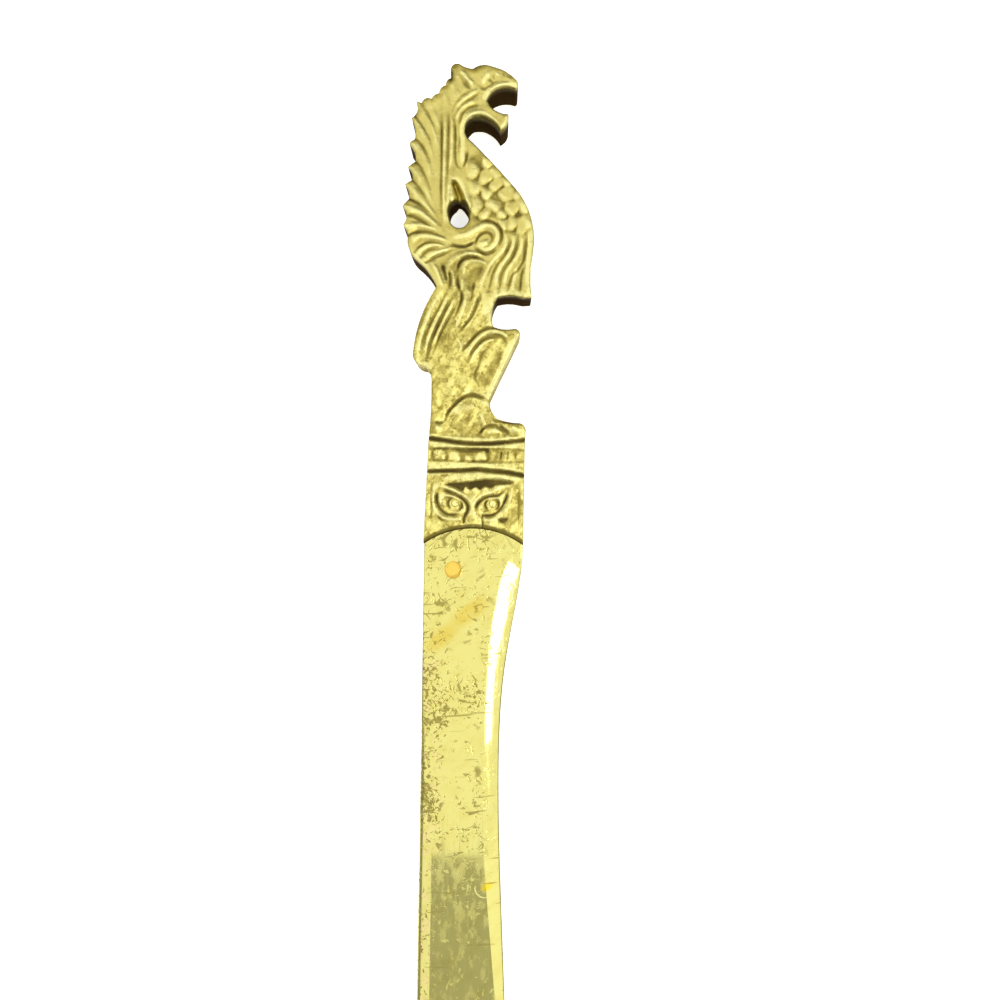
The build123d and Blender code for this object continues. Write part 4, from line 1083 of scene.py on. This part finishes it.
def polished_brass():
    """Polished blade brass with pits, scratches, golden tarnish, stains and fine streaks along its length."""
    material, tree = new_material("polished_brass")
    place = tree.place()
    left = tree.zone("X", *PITTED_SIDE)
    right = tree.zone("X", *SPARED_SIDE)
    worn = tree.zone("Y", *WORN_LENGTH)
    lower = tree.zone("Y", *LOWER_LENGTH)
    crowded = tree.zone("Y", *CROWDED_TOP)
    patches = tree.noise(place, *BLADE_PATCH)
    cloud = tree.noise(tree.stretched(place, *CLOUD_LIE), *BLADE_CLOUD)

    pits = tree.noise(place, *BLADE_PIT)
    patchy = tree.product(tree.less(patches, NOISE_MIDDLE), PATCH_PITTING)
    density = tree.sum(tree.product(left, worn, SIDE_PITTING), patchy)
    density = tree.less(density, tree.product(right, RIGHT_SPARED), tree.product(lower, LOWER_SPARED))
    pitted = [
        tree.product(tree.near(place, ellipse, *PITTED_BORDER), PLACE_PITTING) for ellipse in PITTED_PLACES
    ]
    pit = tree.range(tree.sum(pits, density, *pitted), *PIT_LEVELS)

    hooks = []
    for turn, scale, level in HOOKS:
        crazing = tree.noise(tree.stretched(place, turn, HOOK_STRETCH), scale, *HOOK_FORM)
        breaks = tree.noise(place, BREAK_WAVES[0] * scale + BREAK_WAVES[1], BREAK_DETAIL)
        broken = tree.sum(breaks, tree.product(crowded, CROWDING))
        line = tree.range(tree.off(crazing, level), *HOOK_LINE)
        hooks.append(tree.product(line, tree.range(broken, *BREAK_LEVELS)))
    sparse = tree.product(worn, tree.range(left, *SPARSE_SIDE))
    cluster = tree.range(tree.less(patches, tree.product(sparse, SPARSENESS)), *HOOK_CLUSTERS)
    spared = tree.product(tree.between(*RIGHT_HOOKS, right), tree.between(*LOWER_HOOKS, lower))
    hook = tree.product(tree.most(*hooks), spared, cluster, HOOK_SHARE)
    across = tree.range(tree.noise(tree.stretched(place, *SCRATCH_LIE), *BLADE_SCRATCH), *SCRATCH_LINE)
    scratch = tree.product(across, tree.range(patches, *SCRATCHED_PATCHES), SCRATCH_SHARE)
    mark = tree.most(pit, hook, scratch)

    golden = tree.near(place, GOLDEN_UPPER, *UPPER_BORDER)
    golden = tree.most(golden, tree.near(place, GOLDEN_LOWER, *LOWER_BORDER))
    golden = tree.product(golden, tree.range(cloud, *GOLDEN_COAT))
    pink = tree.product(left, worn, tree.range(tree.noise(place, *BLADE_PINK), *PINK_COAT), PINK_SHARE)
    spot = tree.near(place, ORANGE_SPOT, *SPOT_BORDER)
    ring = tree.less(tree.near(place, PALE_RING, *RING_OUTSIDE), tree.near(place, PALE_RING, *RING_INSIDE))
    ring = tree.product(ring, tree.near(place, RING_PART, *RING_PART_BORDER))
    base = tree.coated(
        BLADE_BRASS,
        (tree.range(cloud, *CLOUD_COAT), CLOUDED_BRASS),
        (golden, GOLDEN_TARNISH),
        (pink, PINK_TINT),
        # The orange stain, with painted shade on its lower right rim
        (spot, ORANGE_RIM),
        (tree.near(place, ORANGE_HEART, *HEART_BORDER), ORANGE_STAIN),
        (tree.near(place, YELLOW_BLOT, *BLOT_BORDER), YELLOW_STAIN),
        (mark, MARK_OLIVE),
        (ring, PALE_BRASS),
    )

    streak = tree.noise(tree.stretched(place, *STREAK_LIE), *BLADE_STREAK)
    speck = tree.range(tree.noise(place, *BLADE_SPECK), *SPECK_LEVELS)
    scuff = tree.noise(tree.stretched(place, *SCUFF_LIE), *BLADE_SCUFF)
    rubbed = tree.product(tree.most(speck, tree.range(scuff, *SCUFF_LEVELS)), lower, RUBBED_ROUGHNESS)
    haze = tree.noise(tree.stretched(place, *HAZE_LIE), *BLADE_HAZE)
    veil = tree.product(tree.range(haze, *HAZE_LEVELS), lower, HAZE_ROUGHNESS)
    dull = tree.between(*MARK_ROUGHNESS, tree.most(mark, ring))
    rough = tree.most(dull, tree.range(streak, *STREAK_ROUGHNESS), rubbed, veil)
    sunk = tree.less(spot, tree.most(pit, hook))
    skin = tree.bump(sunk, *MARK_BUMP, Normal=tree.bump(streak, *STREAK_BUMP))
    tree.metal(Base_Color=base, Metallic=1.0, Roughness=rough, Normal=skin)
    return material


# The pins: levels at which their grain is dull, roughness, bumps
PIN_GRAIN = (0.5, 0.75)
PIN_ROUGHNESS = 0.25
PIN_BUMP = (0.2, 0.1)


def pin_brass():
    """Dressed brass pins."""
    material, tree = new_material("pin_brass")
    grain = tree.noise(tree.place(), *GRAIN)
    base = tree.mix(tree.range(grain, *PIN_GRAIN), PALE_BRASS, OLIVE_BRASS)
    tree.metal(Base_Color=base, Metallic=1.0, Roughness=PIN_ROUGHNESS, Normal=tree.bump(grain, *PIN_BUMP))
    return material


def handle_piece():
    """The casting with its carving."""
    loops = outlines("figure_handle", OUTLINE_HEIGHT)[:2]
    crown = loops[1][:, 1] > PIERCING_SHOULDER
    loops[1][crown, 1] += (PIERCING_CROWN - 1) * (loops[1][crown, 1] - PIERCING_SHOULDER)
    grid = HeightMap(loops[0].min(axis=0), loops[0].max(axis=0))
    x, y = np.meshgrid(grid.across, grid.up)
    figure = y > PLINTH_HEIGHT
    gap = np.full(grid.shape, FAR)
    for loop in loops:
        part, near, _ = grid.distance(closed(loop), EDGE_REACH + 2 * MAP_STEP)
        gap[part] = np.minimum(gap[part], near)

    ground = FIGURE_EDGE + (FIGURE_GROUND - FIGURE_EDGE) * step(gap, FIGURE_RIM, EDGE_REACH)
    ground = blurred(np.where(figure, ground, PLINTH_GROUND), GROUND_BLEND)
    chest = fields(grid, CHEST)
    stones = scales(grid)
    beads = fields(grid, BEADS)
    raised = np.maximum(strokes(grid, RIDGES), stones) + strokes(grid, BROAD_FORMS) + beads
    plinth_lines = np.maximum(strokes(grid, MASK_GROOVES), strokes(grid, BAND_GROOVES, LEVEL_ENDS))
    carved = np.maximum(strokes(grid, GROOVES), plinth_lines)
    carved = np.maximum(carved, strokes(grid, WING_CREASES, CREASE_ENDS, CREASE_FADES))
    channel = strokes(grid, PIERCING_SLOPE, SLOPE_ENDS)
    sunk = fields(grid, [(depth, *border) for depth, _, *border in SUNK_FIELDS])
    depth = ground + np.maximum(carved, channel) + sunk + CHEST_SUNK * chest - raised
    face = blurred(-CEILING_SOFTNESS * np.logaddexp(0, depth / CEILING_SOFTNESS), SOFTENING)

    rounded = fields(grid, ROUNDED_EDGES)
    rim = blurred(np.where(figure, FIGURE_RIM, PLINTH_RIM), GROUND_BLEND) + ROUNDED_RIM * rounded
    short = np.clip(rim - gap, 0, rim)
    rounding = rim - np.sqrt(np.maximum(rim**2 - short**2, 0))
    from_arch = np.hypot(x, y - ARCH_RISE + ARCH_RADIUS) - ARCH_RADIUS
    lip = np.clip(ARCH_LIP - from_arch, 0, ARCH_LIP) * (np.abs(y) < 2 * ARCH_RISE)
    height = HANDLE_HIGH[2] - MIDDLE_Z + face - np.maximum(rounding, lip)

    # Painted shade on rims that face the upper left, and a painted highlight on rims that face away from it
    inward = np.gradient(gap, MAP_STEP)
    facing = -(inward[1] * UPPER_LEFT[0] + inward[0] * UPPER_LEFT[1])
    painted_rim_shade = (1 - part_of(gap, RIM_SHADE)) * step(y, PLINTH_HEIGHT, PLINTH_HEIGHT + SHADE_BLEND) * facing
    hollow = sum(weight * (blurred(face, width) - face) for width, weight in HOLLOWS)
    darkenings = [(darkening, *border) for _, darkening, *border in SUNK_FIELDS] + DARKENED_FIELDS
    patina_and_shade = fields(grid, darkenings) * (1 - part_of(beads, BEAD_CLEAN))
    recesses = ((hollow, *HOLLOW_PATINA), (carved, *CARVED_PATINA), (plinth_lines, *PLINTH_PATINA))
    for recess, full, share in recesses:
        patina_and_shade += share * part_of(recess, full)
    patina_and_shade += CHEST_PATINA * chest * (1 - part_of(stones, SCALE_CLEAN))
    patina_and_shade *= 1 - SLOPE_CLEAN * part_of(channel, SLOPE_DEPTH)
    # Painted shade on those rims, and on the more rounded edges as they turn down to the walls
    patina_and_shade += PAINTED_SHADE_SHARE * np.clip(painted_rim_shade, 0, 1) + rounded * rounding / rim
    # The arch's lip is darkened
    patina_and_shade = np.clip(np.maximum(patina_and_shade, LIP_DARKENING * lip / ARCH_LIP), 0, 1)
    # Worn crests, with a painted highlight on rims that face away from the upper left
    wear_and_highlight = np.clip(np.maximum(-hollow / CREST_RISE - CREST_SHADE * painted_rim_shade, -painted_rim_shade), 0, 1)
    plinth_rim = (1 - part_of(gap, PLINTH_WEAR)) * (y < PLINTH_HEIGHT) * (from_arch > ARCH_LIP)
    wear_and_highlight = np.maximum(np.maximum(wear_and_highlight, fields(grid, WORN_AND_HIGHLIT_FIELDS)), plinth_rim)
    attributes = {
        "patina_and_shade": (patina_and_shade, WALL_PATINA_AND_SHADE),
        "wear_and_highlight": (wear_and_highlight, np.zeros(len(WALL_LEVELS))),
        "side": (np.zeros(grid.shape), np.ones(len(WALL_LEVELS))),
    }
    piece = solid_from_map("sculpted_handle", loops, grid, height, gap, cast_brass(), attributes)
    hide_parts("figure_handle")
    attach(piece, "root")


# The blade's grind: rows along it, columns across a bevel and across the flat, drop at the edges
ROW_STEP = 0.5
END_MARGIN = 0.02
BEVEL_COLUMNS = 14
FLAT_COLUMNS = 18
MOST_DROP = 0.75
EDGE_BREAK = 0.1
BACK_SLOPE = 0.16
BACK_BREAK = 0.3
BACK_BREAK_SHARE = 0.32
BACK_LIMIT = 0.4
EDGE_LIMIT = 0.45
CREASE_GAP = 0.12
OUTLINE_SOFTENING = 1.2
HEEL_BLEND = 10.0
POINT_LENGTH = 12.0
TIP_SHARE = 0.4
TANG_WIDTH = 11.0
TANG_FOOT = 2.0
TANG_SHARE = 0.97
# Where the bevels plunge in, up from the joint
EDGE_PLUNGE = (-1.8, -4.5)
BACK_PLUNGE = (-6.0, -40.0)
# Widths of the two bevels, at places up from the joint
EDGE_BEVEL = ([-152, -77, -53, -34, -25, -20, -12.5, -7, -3], [1.5, 1.6, 2.7, 2.6, 2.9, 3.3, 3.7, 3.4, 2.3])
BACK_BEVEL = ([-152, -20, -3], [2.2, 2.2, 1.6])
# Slope and roundness of the grind, at places up from the joint
GRIND_SLOPE = ([-20, -12.5, -4], [0.235, 0.225, 0.215])
GRIND_ROUNDING = ([-34, -20, -12.5, -4], [0.43, 0.45, 0.3, 0.12])


def crossings(loop, up):
    """The outermost places where a loop crosses a level."""
    ahead = np.roll(loop, -1, axis=0)
    crosses = (loop[:, 1] > up) != (ahead[:, 1] > up)
    a = loop[crosses]
    b = ahead[crosses]
    across = a[:, 0] + (up - a[:, 1]) * (b[:, 0] - a[:, 0]) / (b[:, 1] - a[:, 1])
    return across.min(), across.max()


def evened(values):
    """A column of the blade's rows made smooth, with its ends kept."""
    reach = int(round(3 * OUTLINE_SOFTENING / ROW_STEP))
    padded = np.pad(values, reach, mode="reflect", reflect_type="odd")
    return np.convolve(padded, bell_weights(OUTLINE_SOFTENING, ROW_STEP, reach), mode="valid")[:, None]


def blade_surface():
    """The blade's front, across, up and above the middle plane: flat face, soft bevels, arched heel."""
    loop = outlines("blade", MIDDLE_Z)[0]
    tip = loop[:, 1].min()
    levels = np.linspace(-END_MARGIN, tip + END_MARGIN, int(-tip / ROW_STEP))
    left, right = [evened(side) for side in np.array([crossings(loop, up) for up in levels]).T]
    levels = levels[:, None]
    back_bevel = np.minimum(np.interp(levels, *BACK_BEVEL), BACK_LIMIT * (right - left))
    edge_bevel = np.minimum(np.interp(levels, *EDGE_BEVEL), EDGE_LIMIT * (right - left))
    thin = np.interp(levels, [tip, tip + POINT_LENGTH], [TIP_SHARE, 1.0])
    back_plunge = step(levels, *BACK_PLUNGE)

    depth = np.linspace(0, 1, BEVEL_COLUMNS)
    rounding = np.interp(levels, *GRIND_ROUNDING)
    profile = rounding * (1 - depth) ** 2 + (1 - rounding) * (1 - depth)
    broken_edge = np.where(depth == 0, EDGE_BREAK, 0.0)
    edge_drop = np.minimum(np.interp(levels, *GRIND_SLOPE) * edge_bevel, MOST_DROP)
    edge_drop = edge_drop * profile * step(levels, *EDGE_PLUNGE) + broken_edge
    broken_back = broken_edge + BACK_BREAK * (1 - part_of(depth, BACK_BREAK_SHARE)) * back_plunge
    back_drop = BACK_SLOPE * back_bevel * profile * back_plunge + broken_back
    start = left + back_bevel + CREASE_GAP
    end = right - edge_bevel - CREASE_GAP
    flat = start + (end - start) * np.linspace(0, 1, FLAT_COLUMNS)
    across = np.hstack([left + back_bevel * depth, flat, right - edge_bevel * depth[::-1]])
    lost = np.hstack([back_drop, np.zeros(flat.shape), edge_drop[:, ::-1]])
    lift = np.sqrt(ARCH_RADIUS**2 - across**2) - ARCH_RADIUS + ARCH_RISE
    up = levels + lift * np.maximum(0, 1 + levels / HEEL_BLEND)
    return across, up, BLADE_HALF * thin - lost * thin


def blade_piece():
    """The ground blade and its tang."""
    across, up, height = blade_surface()
    front = np.stack([across + JOINT[0], up + JOINT[1], MIDDLE_Z + height], axis=-1).reshape(-1, 3)
    back = front * (1, 1, -1) + (0, 0, 2 * MIDDLE_Z)
    count = len(front)
    number = np.arange(count).reshape(across.shape)
    corners = [number[:-1, :-1], number[1:, :-1], number[1:, 1:], number[:-1, 1:]]
    cells = np.stack(corners, axis=-1).reshape(-1, 4)
    faces = [*cells.tolist(), *(cells[:, [0, 3, 2, 1]] + count).tolist()]
    rim = [*number[:, 0], *number[-1, 1:], *number[::-1, -1][1:], *number[0, ::-1][1:-1]]
    ring = len(rim)
    base = 2 * count
    for k in range(ring):
        j = (k + 1) % ring
        faces.append((base + k, base + ring + k, base + ring + j, base + j))
    foot = base + 2 * ring
    tang = [
        (JOINT[0] + side * TANG_WIDTH / 2, y, MIDDLE_Z + face * BLADE_HALF * TANG_SHARE)
        for face in (-1, 1)
        for y in (JOINT[1] + TANG_FOOT, BLADE_HIGH[1])
        for side in (-1, 1)
    ]
    box = [(0, 2, 3, 1), (4, 5, 7, 6), (0, 1, 5, 4), (2, 6, 7, 3), (0, 4, 6, 2), (1, 3, 7, 5)]
    faces += [tuple(foot + k for k in side) for side in box]
    vertices = np.vstack([front, back, front[rim], back[rim], tang])
    piece = mesh_piece("ground_blade", vertices, faces, polished_brass())
    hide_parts("blade")
    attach(piece, "root")


def dress_node(node, material):
    """Gives a CAD node its finish."""
    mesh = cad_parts[node].data
    mesh.materials.clear()
    mesh.materials.append(material)


# The table top: its size in metres, its paper, its glow in reflections and to the eye
TABLE_SIZE = 8.0
TABLE_PAPER = colour(0.9, 0.9, 0.9)
MIRRORED_GLOW = 0.4
SEEN_GLOW = 0.68


def floor():
    """A plain white table top, which keeps the opener's shadow."""
    material, tree = new_material("white_table")
    path = tree.add("LightPath").outputs
    mirrored = tree.most(path["Is Glossy Ray"], path["Is Transmission Ray"])
    light = tree.sum(tree.product(mirrored, MIRRORED_GLOW), tree.product(path["Is Camera Ray"], SEEN_GLOW))
    paper = tree.add("BsdfDiffuse", {"Color": TABLE_PAPER})
    glow = tree.add("Emission", {"Color": WHITE, "Strength": light})
    both = tree.add("AddShader", {0: paper.outputs[0], 1: glow.outputs[0]})
    tree.add("OutputMaterial", {"Surface": both.outputs[0]})
    bpy.ops.mesh.primitive_plane_add(size=TABLE_SIZE, location=(0, 0, 0))
    table = bpy.context.object
    table.name = "table"
    table.data.materials.append(material)


# Lamps, in millimetres: name, place, target, size, brightness
LAMPS = [
    ("overhead", (0, 133, 500), (0, 133, 0), (1800, 774), 0.68),
    ("lower_left", (-505, -477, 500), (-505, -477, 0), (790, 446), 0.64),
    ("lower_right", (480, -477, 500), (480, -477, 0), (840, 446), 0.76),
    ("upper_left", (-430, 560, 330), (0, 80, 0), (480, 480), 0.9),
    ("window", (163, -52, 400), (163, -52, 0), (83, 164), 5.0),
]
# The room's light at the level of the table and high above it
ROOM_LIGHT = (0.28, 0.53)
ROOM_HIGH = 0.9


def area_light(name, place, target, size, radiance):
    """A soft rectangular lamp of an even brightness, aimed at a target."""
    lamp = bpy.data.lights.new(name, "AREA")
    lamp.shape = "RECTANGLE"
    lamp.size = size[0] * MM
    lamp.size_y = size[1] * MM
    lamp.energy = radiance * math.pi * lamp.size * lamp.size_y
    piece = linked(name, lamp)
    piece.location = Vector(place) * MM
    aim = Vector(target) * MM - piece.location
    piece.rotation_euler = aim.to_track_quat("-Z", "Y").to_euler()
    piece.visible_camera = False


def lights():
    """The lamps and a dim pale room."""
    for lamp in LAMPS:
        area_light(*lamp)
    world = bpy.data.worlds.new("room")
    world.use_nodes = True
    tree = Nodes(world.node_tree)
    way = tree.add("TexCoord").outputs["Generated"]
    height = tree.add("SeparateXYZ", {0: way}).outputs["Z"]
    light = tree.range(height, 0.0, ROOM_HIGH, *ROOM_LIGHT)
    light = tree.most(light, tree.add("LightPath").outputs["Is Camera Ray"])
    background = tree.add("Background", {"Color": WHITE, "Strength": light})
    tree.add("OutputWorld", {"Surface": background.outputs[0]})
    bpy.context.scene.world = world


def camera():
    """The photograph's camera."""
    data = bpy.data.cameras.new("photo_camera")
    data.sensor_width = CAMERA_SENSOR
    data.angle = CAMERA_ANGLE
    data.clip_start = CAMERA_NEAR * MM
    piece = linked("photo_camera", data)
    piece.location = Vector((*CAMERA_OVER, CAMERA_HEIGHT)) * MM
    piece.rotation_euler = (0, 0, CAMERA_ROLL)
    bpy.context.scene.camera = piece


bpy.context.scene.view_settings.view_transform = "Standard"
handle_piece()
blade_piece()
pins = pin_brass()
dress_node("tang_pin_left", pins)
dress_node("tang_pin_right", pins)
floor()
lights()
camera()
